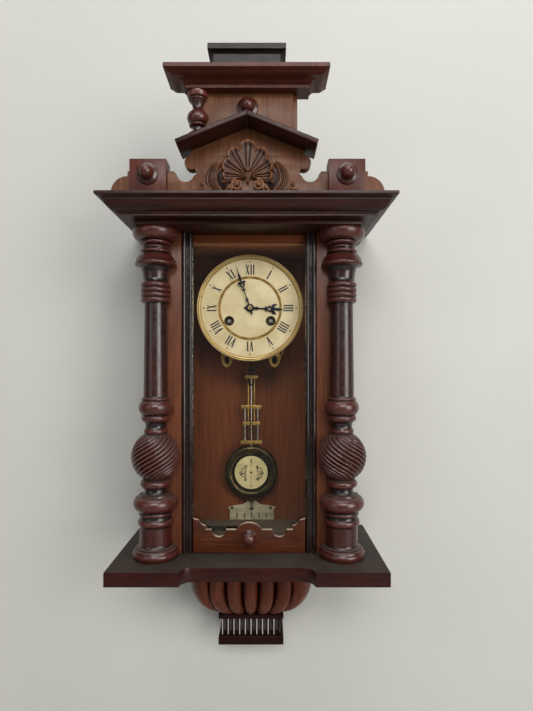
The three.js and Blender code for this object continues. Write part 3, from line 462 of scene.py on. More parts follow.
def ringed(profile, near=1.2):
    """Adds a ring near each end of a long straight run, so that painted shade drawn in a hollow stays
    there.
    """
    path = [Vector(profile[0])]
    for start, end in zip(profile, profile[1:]):
        start, end = Vector(start), Vector(end)
        length = (end - start).length
        if length > 6 * near:
            path += [start.lerp(end, near / length), end.lerp(start, near / length)]
        path.append(end)
    return path


def lathe(profile, segments=72, relief=None, flat_at=None, forward=False):
    """Spins (radius, height) points about an upright axis. relief scales the radius at an angle
    and height, flat_at saws the back off, and forward lays the axis towards the viewer."""
    rings = []
    for radius, height in ringed(profile):
        ring = []
        for i in range(segments):
            angle = math.tau * i / segments
            reach = max(radius, 0.001) * (relief(angle, height) if relief else 1)
            x, y = reach * math.cos(angle), reach * math.sin(angle)
            ring.append(Vector((x, min(y, flat_at) if flat_at is not None else y, height)))
        rings.append(ring)
    # a profile that ends where it began makes a ring with a hole, which needs no caps
    hollow = (Vector(profile[0]) - Vector(profile[-1])).length < 1e-6
    shape = skin(rings, caps=not hollow)
    return shifted(shape, turn=FORWARD) if forward else shape


def turned(profile, segments, x, y, z, per_quarter=7):
    """A turning whose axis points at the viewer, from an outline."""
    return shifted(lathe(traced(profile, per_quarter=per_quarter), segments, forward=True), x, y, z)


def plank(outlines, low, high, facing="front", ease=0.5, per_quarter=7):
    """A board cut to the first outline, with the others as holes and its edges rounded by ease.
    It is a filled flat curve, extruded and bevelled, because a curve fills holes by itself."""
    flat = bpy.data.curves.new("outline", "CURVE")
    flat.dimensions = "2D"
    flat.fill_mode = "BOTH"
    flat.extrude = (high - low) / 2 - ease
    flat.bevel_depth = ease
    flat.offset = -ease
    flat.bevel_resolution = 1
    for points in outlines:
        path = traced(points, True, per_quarter)
        spline = flat.splines.new("POLY")
        spline.points.add(len(path) - 1)
        for at, p in zip(spline.points, path):
            at.co = (p.x, p.y, 0, 1)
        spline.use_cyclic_u = True
    holder = bpy.data.objects.new("outline", flat)
    bpy.context.scene.collection.objects.link(holder)
    bpy.context.view_layer.update()
    mesh = holder.evaluated_get(bpy.context.evaluated_depsgraph_get()).to_mesh()
    middle = (low + high) / 2
    place = {"front": lambda a, b, c: (a, middle + c, b), "level": lambda a, b, c: (a, b, middle + c),
             "side": lambda a, b, c: (middle + c, a, b)}[facing]
    shape = [place(*v.co) for v in mesh.vertices], [list(p.vertices) for p in mesh.polygons]
    bpy.data.objects.remove(holder)
    bpy.data.curves.remove(flat)
    return shape


def rectangle(a0, a1, b0, b1):
    return [(a0, b0), (a1, b0), (a1, b1), (a0, b1)]


def brick(x0, x1, y0, y1, z0, z1, ease=0.5):
    """A squared block with eased edges."""
    return plank([rectangle(x0, x1, z0, z1)], y0, y1, "front", ease)


def mitred(profile, half, front, back, ease_corner=0.8):
    """A moulding run round the left, front and right of a board. profile holds (out, height):
    out is how far it stands beyond half and in front of front."""
    rings = []
    for out, height in profile:
        x, y, c = half + out, front - out, ease_corner
        rings.append([(-x, back, height), (-x, y + c, height), (-x + c, y, height),
                      (x - c, y, height), (x, y + c, height), (x, back, height)])
    return skin(rings)


def swept(path, radius, sides=8, flatten=1.0):
    """A round bar along a path. radius may be a function of the share of its length."""
    rings = []
    for i, at in enumerate(path):
        before, after = path[max(i - 1, 0)], path[min(i + 1, len(path) - 1)]
        ahead = (Vector(after) - Vector(before)).normalized()
        across = ahead.cross(Vector((0, 1, 0)))
        across = across.normalized() if across.length > 1e-4 else Vector((1, 0, 0))
        up = across.cross(ahead).normalized()
        reach = radius(i / (len(path) - 1)) if callable(radius) else radius
        rings.append([Vector(at) + across * reach * math.cos(math.tau * k / sides)
                      + up * reach * flatten * math.sin(math.tau * k / sides) for k in range(sides)])
    return skin(rings)


print("mesh tools ready")

# %% [markdown]
# ## The room
#
# A pale plastered wall is behind the clock, and a floor far below it. They are a stage and not
# part of the clock. Seen from behind, the wall would hide it, so its back is made clear.


# %% Wall and floor
def staged(name, corners, hex_colour, one_sided):
    mesh = bpy.data.meshes.new(name)
    mesh.from_pydata(corners, [], [(0, 1, 2, 3)])
    material, tree = new_material(name, "plaster")
    colour = mixed(tree, noise(tree, 260, 3), linear(hex_colour), linear("bcbcb7"))
    paint = node(tree, "BsdfPrincipled", {"Base Color": colour, "Roughness": 0.75,
                                          "Normal": raised(tree, noise(tree, 30, 4), 0.25)})
    surface = paint
    if one_sided:
        clear = node(tree, "BsdfTransparent")
        behind = node(tree, "NewGeometry").outputs["Backfacing"]
        surface = node(tree, "MixShader", {0: behind, 1: paint.outputs[0], 2: clear.outputs[0]})
    node(tree, "OutputMaterial", {"Surface": surface.outputs[0]})
    mesh.materials.append(material)
    made = bpy.data.objects.new(name, mesh)
    bpy.context.scene.collection.objects.link(made)


WALL_Y = 0.002
FLOOR_Z = -1.2
ROOM, ROOM_TOP = 4, 3
wall = [(-ROOM, WALL_Y, FLOOR_Z), (ROOM, WALL_Y, FLOOR_Z), (ROOM, WALL_Y, ROOM_TOP),
        (-ROOM, WALL_Y, ROOM_TOP)]
floor = [(-ROOM, -ROOM, FLOOR_Z), (ROOM, -ROOM, FLOOR_Z), (ROOM, ROOM, FLOOR_Z), (-ROOM, ROOM, FLOOR_Z)]
staged("wall", wall, "b2b2ad", True)
staged("floor", floor, "b5b3ac", False)

# %% [markdown]
# ## Case boards
#
# The back board, the side frames, the stiles and the case's floor and top are flat planks. A box
# would do for the shape, but real edges are never sharp: a sliver of round catches the light and
# tells the eye that it is wood. So each is cut as a plank with eased edges.

# %% Case boards
for side in ("left", "right"):
    stile = Span(f"front_stile_{side}")
    shape = brick(stile.x0, stile.x1, stile.y0, stile.y1, stile.z0, stile.z1, 0.8)
    piece(f"stile_{side}", *shape, walnut_veneer, "case", [f"front_stile_{side}"])
    frame_box = Span(f"side_frame_{side}")
    pane = Span(f"side_glass_{side}")
    REBATE = 5
    opening = rectangle(pane.y0 + REBATE, pane.y1 - REBATE, pane.z0 + REBATE, pane.z1 - REBATE)
    outer = rectangle(frame_box.y0, frame_box.y1, frame_box.z0, frame_box.z1)
    shape = plank([outer, opening], frame_box.x0, frame_box.x1, "side", 1.2)
    piece(f"side_window_frame_{side}", *shape, walnut_veneer, "case", [f"side_frame_{side}"])
for name, material in (("case_floor", walnut_floor), ("case_top", top_painted_light)):
    b = Span(name)
    piece(name + "_board", *brick(b.x0, b.x1, b.y0, b.y1, b.z0, b.z1), material, "case", [name])
print("case boards made, inside width", round(Span("case_floor").x1 * 2), "mm")

# %% [markdown]
# ## Columns
#
# Each column is a half turning glued to its stile: a base with a big torus, a twisted gadroon
# ball, a slim shaft, four rings and a flared capital. A turner works down a list of beads and
# hollows, and the profile is that list. The twist is carved after turning, so it is a relief that
# travels round the ball with its height. The two columns twist opposite ways, as a pair does.

# %% Columns
column = Span("column_left")
COLUMN_AXIS_Y = -138.5
COLUMN_FLAT = column.y1 - COLUMN_AXIS_Y  # the sawn back stands this far behind the axis
BALL_LOW, BALL_HIGH, GADROONS, TWIST = 108.5, 170.5, 19, 3.3
COLUMN_FOOT = [
    (0.1, 0), (29, 0), (29.5, 1.0, 0.5), (29.5, 10.5, QUARTER), (26.5, 13.6), (26.5, 15.2, -QUARTER),
    (22.2, 19.6), (22, 43), (22.4, 44.6, 0.49), (22.4, 54), (22.0, 54.6), (22.0, 58.4), (23.0, 59.2, 0.3),
    (23.0, 63), (24.5, 65.4, 0.66), (24.5, 85.0), (23, 85.6), (22.6, 87.4, -QUARTER), (15.6, 91.2),
    (15.6, 95.5), (17.5, 96.7, 0.73), (17.5, 107.6)]
COLUMN_BALL = [(16.4, BALL_LOW, 0.565), (16.4, BALL_HIGH)]
COLUMN_TOP = [
    (15.4, 171.2, 0.32), (15.4, 178), (14.2, 180, -0.2), (16.0, 188), (18, 188.8, 0.48), (18, 197.2),
    (19.4, 198.2, 0.457), (19.4, 217), (17.8, 217.6, HALF), (17.8, 221.6), (16.9, 222.5), (15.4, 352),
    (18.6, 353.3), (18.6, 353.5, 0.62), (18.6, 360.4, 0.62), (18.6, 367.4, 0.62), (18.6, 374.4, 0.62),
    (18.6, 381.4), (17.4, 382.6), (17.6, 388, -0.06), (20.0, 401.6), (21.4, 402.8), (27.2, 404.6, 0.5),
    (28, 409.4, 0.22), (21.4, 420.4), (20.2, 422.4, 0.6), (20.2, 426.2), (16.3, 427.4),
    (16.6, 428.8, HALF), (16.6, 431.6), (18.4, 432.4), (20.2, 434.2, 0.65), (20.2, 438.2),
    (21.4, 438.8, 0.3), (31.2, 446.6, 0.12), (31.7, 453.4), (31.2, 454.3), (0.1, 454.3)]


def gadroons(hand):
    """Ridges that climb round the ball, strongest at its middle. hand is 1 or -1."""
    def relief(angle, height):
        if not BALL_LOW < height < BALL_HIGH:
            return 1
        share = (height - BALL_LOW) / (BALL_HIGH - BALL_LOW)
        wave = abs(math.sin(GADROONS / 2 * (angle + hand * TWIST * share)))
        return 1 - 0.15 * math.sin(math.pi * share) ** 0.5 * (1 - wave ** 0.7)
    return relief


# the ball's arc is traced much finer, so that it can carry the carving
profile = (traced(COLUMN_FOOT, per_quarter=6) + traced(COLUMN_BALL, per_quarter=44)
           + traced(COLUMN_TOP, per_quarter=6))
for side, hand in (("left", -1), ("right", 1)):
    at = Span(f"column_{side}")
    shape = lathe(profile, 184, gadroons(hand), COLUMN_FLAT)
    piece(f"turned_column_{side}", *shifted(shape, at.x, COLUMN_AXIS_Y, at.z0), walnut_turned, "case",
          [f"column_{side}"], 50)
print("columns:", round(column.z1 - column.z0), "mm tall")

# %% [markdown]
# ## Shelf and corbel
#
# The shelf is one thick board, set back in the middle with a hollow corner at each end. Below it
# a bowl of seven carved lobes curves in to a small reeded block. The lobes are one surface: its
# plan is a flat-fronted bow, its side is a quarter round that carries on straight up, and each
# lobe swells between grooves and ends in a round tongue.

# %% Shelf
shelf = Span("base_shelf")
RECESS = 16
RECESS_HALF = 72
half = [(RECESS_HALF, shelf.y0 + RECESS, -QUARTER), (RECESS_HALF + RECESS, shelf.y0),
        (shelf.x1, shelf.y0), (shelf.x1, shelf.y1)]
shape = plank([mirrored(half)], shelf.z0, shelf.z1, "level", 0.9)
piece("shelf_board", *shape, mahogany_shelf, "case", ["base_shelf"])

# %% Corbel bowl
bowl = Span("corbel_bowl")
LOBES = 7
PER_LOBE = 22
LEVELS = 22
LOWER_HALF, LOWER_DEPTH = 49, 50
ROUND_SHARE = 0.5  # the quarter round takes up this much of the height
CORNERS = 4.0  # 2 gives an oval plan, more gives fuller corners


def lobe_point(u, v):
    """A point on the bowl: u runs from left to right, v from the bottom up."""
    swell = math.sqrt(1 - (1 - min(v / ROUND_SHARE, 1)) ** 2)
    reach = LOWER_HALF + (bowl.x1 - 0.5 - LOWER_HALF) * swell
    depth = LOWER_DEPTH + (-bowl.y0 - 0.5 - LOWER_DEPTH) * swell
    outermost = min(u, 1 - u) < 0.5 / LOBES  # the two end lobes run full up to the wall
    phase = 0 if outermost else abs(2 * ((u * LOBES) % 1) - 1)
    dome = math.sqrt(max(0, 1 - phase ** 2.1))
    shrink = 1 - 0.19 * (1 - dome)
    across = 2 * u - 1
    side = abs(across)
    x = reach * across * shrink if side < 1 else reach * across
    y = -depth * shrink * (1 - side ** CORNERS) ** (1 / CORNERS)
    tongue = 8 * (1 - dome) * max(0, 1 - v / ROUND_SHARE) ** 2
    return (x, min(y, -0.1), bowl.z0 + (bowl.z1 - bowl.z0) * v + tongue)


heights = [ROUND_SHARE * (1 - math.cos(math.pi / 2 * k / LEVELS)) for k in range(LEVELS + 1)] + [0.75, 1]
count = LOBES * PER_LOBE
# the points crowd towards the wall, where the plan turns fastest
places = [0.5 + 0.5 * math.sin(math.pi * (i / count - 0.5)) for i in range(count + 1)]
rings = [[lobe_point(u, v) for u in places] for v in heights]
# under the tongues the bowl is hollowed, with a boss left in the middle that meets the block below
hollow = [[(x * share, min(y * share, -0.1), bowl.z0 + rise) for x, y, _ in rings[0]]
          for share, rise in ((0.7, 0), (0.74, 7), (0.9, 8))]
piece("lobed_bowl", *skin(hollow + rings), mahogany_lobes, "case", ["corbel_bowl"], 60)

# %% Corbel drop
drop = Span("corbel_drop")
FLUTES = 10
TOP_FILLET, BASE_FILLET = 8, 14.5
END_MARGIN = 1.4
LAND = 1.1  # half the flat between two flutes
core_half, core_front = drop.x1 - 4.5, drop.y0 + 4.5
pitch = 2 * (core_half - END_MARGIN) / FLUTES
fluted = [(core_half, 0), (-core_half, 0), (-core_half, core_front)]
for i in range(FLUTES):
    start = -core_half + END_MARGIN + i * pitch
    fluted += [(start + LAND, core_front, -0.8), (start + pitch - LAND, core_front)]
fluted += [(core_half, core_front)]
base = mitred(traced([(-0.8, drop.z0), (0, drop.z0 + 0.8), (0, drop.z0 + BASE_FILLET - 3, QUARTER),
                      (-3, drop.z0 + BASE_FILLET), (-4, drop.z0 + BASE_FILLET)]), drop.x1, drop.y0, 0)
top = mitred(traced([(-4, drop.z1 - TOP_FILLET), (-0.6, drop.z1 - TOP_FILLET), (0, drop.z1 - 7.4),
                     (0, drop.z1 - 2), (-2, drop.z1)]), drop.x1, drop.y0, 0)
reed_low, reed_high = drop.z0 + BASE_FILLET - 0.5, drop.z1 - TOP_FILLET + 0.5
piece("drop_fillets", *joined(base, top), mahogany_drop, "case", ["corbel_drop"])
piece("reeded_hollow", *plank([fluted], reed_low, reed_high, "level", 0.1, 5), beech_black, "case")
edges = []
for i in range(FLUTES):
    drift = (0.5 - i / (FLUTES - 1)) * 0.2
    middle = -core_half + END_MARGIN + (i + 0.5) * pitch + drift - pitch / 2
    x0, x1 = middle - 0.9, middle + 0.9
    edges.append(brick(x0, x1, core_front - 0.35, core_front + 1, reed_low, reed_high, 0.2))
piece("reed_edges", *joined(*edges), reed_dust, "case")
print("corbel made, bowl", round(bowl.x1 * 2), "mm wide")

# %% [markdown]
# ## Cornice and crest
#
# A board moulding crowns the case. Above it stands a fretted board with a block and a turned knob
# at each side, then a small gabled front and a tower with its own cornice and cap. Cornices are
# profiles run round three sides, and the fretted boards are outlines with bowed stretches.

# %% Frieze and cornice
frieze = Span("frieze")
shape = brick(frieze.x0, frieze.x1, frieze.y0, frieze.y1, frieze.z0, frieze.z1, 1.2)
piece("frieze_board", *shape, walnut_across, "case", ["frieze"])
cornice = Span("cornice")
crown = [(0, 0), (0, 2.6), (2.2, 3.2), (2.2, 4.4, 0.3), (14, 15.6), (15.2, 16.2), (15.2, 17.4, -0.3),
         (21, 20.2), (22.2, 20.8), (23, 21.6), (23, 24.4, QUARTER), (22.4, 25)]
out = 23
profile = [(p.x, cornice.z0 + p.y) for p in traced(crown)]
piece("crown_moulding", *mitred(profile, cornice.x1 - out, cornice.y0 + out, 0), walnut_across, "case",
      ["cornice"])

# %% Crest board
crest = Span("crest_board")
GABLE_FOOT = 75
slat = Span("gable_slat_right")
SLAT_THICK = 5.8
SLAT_END_Z = 323.5
slope = (slat.z1 - SLAT_END_Z) / slat.x1
slat_plumb = SLAT_THICK * math.hypot(1, slope)
under_gable = slat.z1 - slat_plumb - 0.3
FLAT_TOP = 296.3
half = [(crest.x1, crest.z0), (crest.x1, 267.6, QUARTER), (159.4, 290), (159.4, FLAT_TOP),
        (97.7, FLAT_TOP), (94.0, 291.5, -0.767), (71.9, 289.6), (68, 293.5), (70.5, 299.4, 1.14),
        (76.1, 317.4), (GABLE_FOOT, 318), (GABLE_FOOT, under_gable - slope * GABLE_FOOT), (0, under_gable)]
shape = plank([mirrored(half)], crest.y0, crest.y1, ease=0.8)
piece("fretted_crest", *shape, walnut_crest, "case", ["crest_board"])

# %% Gable slats, crest blocks and knobs
for side, sign in (("left", -1), ("right", 1)):
    at = Span(f"gable_slat_{side}")
    angle = math.atan(slope)
    end = (91 - SLAT_THICK * math.sin(angle), SLAT_END_Z - SLAT_THICK * math.cos(angle))
    corners = [(0.3, slat.z1 - slat_plumb), end, (91, SLAT_END_Z), (0.3, slat.z1)]
    outline = [(sign * x, z) for x, z in corners][::sign]
    piece(f"gable_board_{side}", *plank([outline], at.y0, at.y1, ease=0.7), walnut_across, "case",
          [f"gable_slat_{side}"])
    block = Span(f"crest_block_{side}")
    face = brick(block.x0, block.x1, block.y0, crest.y0 - 0.3, block.z0, block.z1, 1.0)
    lid = brick(block.x0, block.x1, crest.y0 - 1.5, block.y1, FLAT_TOP + 0.3, block.z1, 1.0)
    piece(f"square_block_{side}", *joined(face, lid), walnut_block, "case", [f"crest_block_{side}"])

KNOB = [(0.1, 0), (12.2, 0), (13, 0.8, HALF), (13, 2.8), (12.2, 3.6), (9.6, 4.2, -0.5), (9.2, 6.4),
        (9.6, 7.4, 0.36), (0.1, 17.1)]
DOOR_KNOB = [(0.1, 0), (8.6, 0), (9.3, 0.8, HALF), (9.3, 2.4), (8.4, 3.4), (6, 4.6, -0.25), (5.7, 8.2),
             (7.1, 9.6, 0.5), (6.6, 17.2, 0.2), (0.1, 19.6)]
for name, body, profile in (("crest_knob_left", "case", KNOB), ("crest_knob_right", "case", KNOB),
                            ("tower_knob", "case", KNOB), ("door_knob", "door", DOOR_KNOB)):
    at = Span(name)
    piece("turned_" + name, *turned(profile, 48, at.x, at.y1, at.z), walnut_turned, body, [name], 40)

# %% Tower
tower = Span("tower_board")
SHOULDER = 6
FACE_HALF = tower.x1 - SHOULDER
rest_on = slat.z1 + 0.36
face_foot = rest_on - slope * FACE_HALF
face = [(FACE_HALF, face_foot), (FACE_HALF, tower.z1), (-FACE_HALF, tower.z1), (-FACE_HALF, face_foot),
        (0, rest_on)]
cheek = rectangle(FACE_HALF - 2, tower.x1, face_foot + 0.4, tower.z1)
cheeks = [plank([[(sign * x, z) for x, z in cheek][::sign]], tower.y0 + 5, tower.y1) for sign in (-1, 1)]
shape = joined(plank([face], tower.y0, tower.y1), *cheeks)
piece("tower_front", *shape, walnut_crest, "case", ["tower_board"])

profile = traced([(0.1, 326), (10, 326), (10, 340.4), (10.4, 341, HALF), (10.4, 346), (10, 346.6, -0.5),
                  (7, 349.6), (6.8, 352.6, -0.3), (9, 354), (10, 354.4, HALF), (10, 357.4),
                  (10.4, 358, 0.5), (10.6, 373.4), (8, 375.4, -0.2), (7, 379.5, -0.2), (10.6, 387.4),
                  (11, 388.2, HALF),
                  (11, 391), (12.4, 391.8), (13.6, 393), (13.6, 399.2), (0.1, 399.2)])
verts, faces = shifted(lathe(profile, 64, flat_at=3.7), -tower.x1, tower.y0 + 1)
scribed = []
for v in verts:
    over_face = v.x > -FACE_HALF - 0.3
    seat = rest_on + 0.3 - slope * abs(v.x)
    scribed.append((v.x, min(v.y, tower.y0 - 0.3) if over_face else v.y, max(v.z, seat)))
piece("half_baluster", scribed, faces, walnut_turned, "case", ["tower_baluster"], 50)

at = Span("tower_cornice")
crown = [(0, 0), (0, 4.8), (2.5, 5.6), (2.5, 6.2, -0.3), (11, 8.6, 0.25), (20.4, 12.4), (22.4, 12.8),
         (23.5, 13.8), (23.5, 18.6), (23, 19)]
profile = [(p.x, at.z0 + p.y) for p in traced(crown)]
out = 23.5
# the tower moulding takes the paler block finish: painted light for the brighter light it catches above
# the crown
piece("tower_moulding", *mitred(profile, at.x1 - out, at.y0 + out, at.y1), walnut_block, "case",
      ["tower_cornice"])
cap = Span("tower_cap")
profile = traced([(-6.3, cap.z0), (-6.3, cap.z1 - 11), (-5.4, cap.z1 - 10.4, -0.3), (-1.2, cap.z1 - 8),
                  (0, cap.z1 - 7.4), (0, cap.z1 - 0.8), (-0.8, cap.z1)])
piece("cap_block", *mitred(profile, cap.x1, cap.y0, cap.y1), walnut_cap, "case", ["tower_cap"])
print("crest made, top at", round(cap.z1), "mm")

# %% [markdown]
# ## Shell carving
#
# The carver cut a fan of fluted lobes with rolled tips, two volutes below it and a spray of
# acanthus at each side. Sculpting by hand would take hours, so every leaf is one curved surface
# with a formula for its height: a hollow between raised edges, a lip at the tip. Each surface is
# closed by a flat back, and the pieces overlap as the carved ones do.

# %% Carving tools
carving = Span("shell_carving")
GROUND_Y = carving.y1
REACH = 10.3  # the carving stands this far out at most


def carved(surface, across, along):
    """A closed relief: surface gives (x, rise, z) for u from -1 to 1 and v from 0 to 1."""
    wide = across + 1
    rows = [[surface(-1 + 2 * i / across, k / along) for i in range(wide)] for k in range(along + 1)]
    front = [(x, GROUND_Y - min(rise, REACH), z) for row in rows for x, rise, z in row]
    back = [(x, GROUND_Y, z) for row in rows for x, _, z in row]
    faces, start = [], len(front)
    for k in range(along):
        for i in range(across):
            a = k * wide + i
            quad = [a, a + 1, a + 1 + wide, a + wide]
            faces += [quad, [n + start for n in quad]]
    edge = list(range(wide)) + [k * wide + across for k in range(1, along + 1)]
    edge += [along * wide + i for i in range(across - 1, -1, -1)]
    edge += [k * wide for k in range(along - 1, 0, -1)]
    faces += [[a, b, b + start, a + start] for a, b in zip(edge, edge[1:] + edge[:1])]
    return front + back, faces


def fan_lobe(root, degrees, length, width):
    """One lobe of the fan: fine flutes between raised edges, and a lip that rolls forward."""
    lean = math.radians(degrees)

    def surface(u, v):
        reach = length * (0.08 + 0.92 * v * (1 - 0.13 * u * u * v))
        half_width = width / 2 * (0.16 + 0.84 * v ** 0.8)
        edges = abs(u) ** 3 * (1 - 0.5 * v)
        flutes = 0.5 + 0.5 * math.cos(3 * math.pi * u)
        lip = math.exp(-((v - 0.93) / 0.09) ** 2) * (1 - 0.45 * u * u)
        rise = 2.4 + 2.2 * v + 2.2 * edges + 1.3 * flutes * (1 - 0.7 * lip) + 3.4 * lip
        rise -= 3.2 * max(0, v - 0.95) / 0.05
        across = half_width * u
        return (root[0] + math.sin(lean) * reach + math.cos(lean) * across, rise,
                root[1] + math.cos(lean) * reach - math.sin(lean) * across)
    return carved(surface, 24, 30)


def frond(start, bend, tip, width, side, lift=0.0, veins=2):
    """One broad acanthus leaf along a bent line, with fine veins and a tip that curls forward."""
    def surface(u, v):
        a, b, c = (1 - v) ** 2, 2 * v * (1 - v), v * v
        x = a * start[0] + b * bend[0] + c * tip[0]
        z = a * start[1] + b * bend[1] + c * tip[1]
        dx = 2 * (1 - v) * (bend[0] - start[0]) + 2 * v * (tip[0] - bend[0])
        dz = 2 * (1 - v) * (bend[1] - start[1]) + 2 * v * (tip[1] - bend[1])
        size = math.hypot(dx, dz)
        half_width = width / 2 * math.sin(math.pi * (0.16 + 0.8 * v)) ** 0.6
        rise = 1.6 + lift + 2.8 * (1 - u * u) ** 0.5
        rise += 0.8 * math.cos(2 * veins * math.pi * u) * (1 - 0.6 * v)
        rise += 2.4 * math.exp(-((v - 0.9) / 0.12) ** 2)
        return (side * (x - dz / size * half_width * u), rise, z + dx / size * half_width * u)
    return carved(surface, 20, 24)


def volute(x, z, outer, turns, side, bar):
    """A scroll: a bar that winds in to a round eye."""
    path = []
    steps = 46
    for i in range(steps + 1):
        share = i / steps
        angle = math.radians(100) - side * math.tau * turns * share
        radius = outer * (1 - 0.62 * share)
        path.append((x + radius * math.cos(angle), GROUND_Y - 4.4 - 1.6 * share,
                     z + radius * math.sin(angle)))
    eye = [(0.01, 0), (bar * 1.9, 0), (bar * 1.9, 6.4, 0.36), (0.01, 8.8)]
    return joined(swept(path, lambda share: bar * (1 - 0.3 * share), 10),
                  turned(eye, 20, x, GROUND_Y, z))


# %% Carve the shell
FAN_ROOT = (0, 288)
lobes = [(0, 49, 22)]
for side in (-1, 1):
    lobes += [(side * 31, 44, 19), (side * 60, 38, 18), (side * 88, 34, 13)]
# outer lobes first, so the top lobe lies over its neighbours as it was carved
shapes = [fan_lobe(FAN_ROOT, *lobe) for lobe in reversed(lobes)]
shapes.append(turned([(0.01, 0), (3.2, 0), (3.2, 7.4, 0.38), (0.01, 9.8)], 24, 0, GROUND_Y, 296))
shapes.append(frond((0, 296), (0, 288), (0, 279), 6, 1, 1.6, 1))
for side in (-1, 1):
    shapes.append(volute(side * 13.8, 276.8, 7.4, 1.4, side, 1.7))
    shapes.append(volute(side * 24.5, 271.5, 4.6, 1.1, -side, 1.1))
    shapes.append(frond((20, 284), (28, 286), (33, 279), 6, side, 0.6, 1))
    shapes.append(frond((34, 264), (61, 283), (37, 307), 15, side, 0.2, 3))
    shapes.append(frond((40, 264), (54, 268), (62, 280), 7, side, 0.6, 1))
    shapes.append(frond((44, 262), (60, 262), (65, 272), 7, side, 0.2, 1))
    shapes.append(volute(side * 58, 270.5, 4.2, 1.0, -side, 1.1))
piece("carved_shell", *joined(*shapes), walnut_carved, "case", ["shell_carving"], 60)
# dark ovals in the gap between the fan and each leaf are painted shade, standing in for the shadow in the
# undercut there
shade_ovals = [plank([oval(side * 33, 284, 8, 13)], GROUND_Y - 0.9, GROUND_Y - 0.1, ease=0.1)
          for side in (-1, 1)]
piece("carving_painted_shade", *joined(*shade_ovals), mahogany_drop, "case")
print("carving made of", len(shapes), "leaves and scrolls")

# %% [markdown]
# ## Door
#
# A black frame carries the glass and a low fretted apron with a knob. Each upright is a moulding:
# a round bead outside, a flat channel, and a smaller bead beside the glass. The rear edges are
# planed off, so that the hinged side clears the case as it turns.


# %% Door frame
def uprights(profile, x, z0, z1):
    """A moulding that stands at the left and, mirrored, at the right. profile holds (inward, y)."""
    return joined(*[skin([[(side * (x - p.x), p.y, z) for p in profile] for z in (z0, z1)])
                    for side in (-1, 1)])


door = Span("door_frame")
pane = Span("door_glass")
RAIL = 15
front, back, seat = door.y0, door.y1, pane.y0 - 0.3
RELIEF = 2.6
moulding = traced([(RELIEF, back), (0, back - RELIEF), (0, front + 2.8, 0.8), (5.2, front + 2.8),
                   (5.4, front + 4.4), (9.8, front + 4.4), (10, front + 2.6, 0.8), (13.4, front + 2.6),
                   (RAIL, front + 6), (RAIL, seat), (RAIL - 5, seat), (RAIL - 5, back)], True)
piece("door_moulding", *uprights(moulding, door.x1, door.z0, door.z1), beech_black, "door",
      ["door_frame"], 40)
# plain rails of brown wood join the two sides above and below the glass; their paler finish is painted
# light against the cornice's shade
rail_x = door.x1 - RAIL + 2
rails = [brick(-rail_x, rail_x, pane.y1 + 0.2, back, door.z0, door.z0 + RAIL),
         brick(-rail_x, rail_x, pane.y0 - 1.6, back, door.z1 - RAIL + 5, door.z1, 0.3)]
piece("door_rails", *joined(*rails), walnut_rail, "door")

# %% Apron
apron = Span("door_apron")
EDGE_Z = -194
half = [(apron.x1, apron.z0), (apron.x1, apron.z1), (72, -180.5, -0.2), (61.9, -189), (62.7, EDGE_Z),
        (53.3, EDGE_Z), (52.3, -198.4, -0.637), (33.7, -198.4), (32.8, EDGE_Z), (19.9, EDGE_Z),
        (18.4, EDGE_Z, 0.226), (2.3, -184.1)]
piece("fretted_apron", *plank([mirrored(half)], apron.y0, apron.y1, ease=0.9), walnut_apron, "door",
      ["door_apron"])
print("door made")


# %% [markdown]
# ## Dial
#
# The dial is enamel-white with printed Roman numerals, a raised brass ring round its middle and a
# spun brass bezel at its rim. The print could be an image, but thin raised ink is real geometry,
# stays sharp close up and needs no picture. Numerals stand with their feet to the centre.

# %% Numerals and minute marks
dial_z = Span("dial_bezel").z
card_y = Span("dial_plate").y0
INK_THICK = 0.16
FEET_AT, HEADS_AT = 49.6, 64.4
STROKE, HAIR = 2.1, 0.95
ADVANCE = {"I": 3.7, "V": 7.0, "X": 7.2}


def stroke(a, b, width):
    """A flat bar between two (across, up) points of a numeral, as four corners."""
    reach = width / 2
    return [(a[0] - reach, a[1]), (a[0] + reach, a[1]), (b[0] + reach, b[1]), (b[0] - reach, b[1])]


def numeral(text):
    """The bars of a Roman numeral, centred on 0 across."""
    total = sum(ADVANCE[letter] for letter in text)
    at, bars = -total / 2, []
    for letter in text:
        middle = at + ADVANCE[letter] / 2
        low, high = FEET_AT, HEADS_AT
        if letter == "I":
            bars.append(stroke((middle, low), (middle, high), STROKE))
        elif letter == "V":
            bars.append(stroke((middle, low), (middle - 1.9, high), STROKE))
            bars.append(stroke((middle, low), (middle + 2.3, high), HAIR))
        else:
            bars.append(stroke((middle + 1.9, low), (middle - 1.9, high), STROKE))
            bars.append(stroke((middle - 2.2, low), (middle + 2.2, high), HAIR))
        at += ADVANCE[letter]
    return bars


def printed(bars, degrees):
    """Ink bars turned clockwise about the dial's centre. Crossing bars differ a hair in height."""
    turn = math.radians(degrees)
    shapes = []
    for k, bar in enumerate(bars):
        lift = INK_THICK + 0.012 * (k % 5)
        ring = [(a * math.cos(turn) + b * math.sin(turn), dial_z - a * math.sin(turn) + b * math.cos(turn))
                for a, b in bar]
        shapes.append(skin([[(p, card_y - rise, q) for p, q in ring] for rise in (lift, 0.01)]))
    return joined(*shapes)


HOURS = ["XII", "I", "II", "III", "IIII", "V", "VI", "VII", "VIII", "IX", "X", "XI"]
MARK_AT = 68.5
marks = []
for hour, text in enumerate(HOURS):
    marks.append(printed(numeral(text), hour * 30))
    diamond = [(0, MARK_AT - 1.7), (1.1, MARK_AT), (0, MARK_AT + 1.7), (-1.1, MARK_AT)]
    marks.append(printed([diamond], hour * 30))
for minute in range(60):
    if minute % 5:
        marks.append(printed([stroke((0, MARK_AT - 0.3), (0, MARK_AT + 0.3), 0.5)], minute * 6))
piece("dial_print", *joined(*marks), ink, "case")

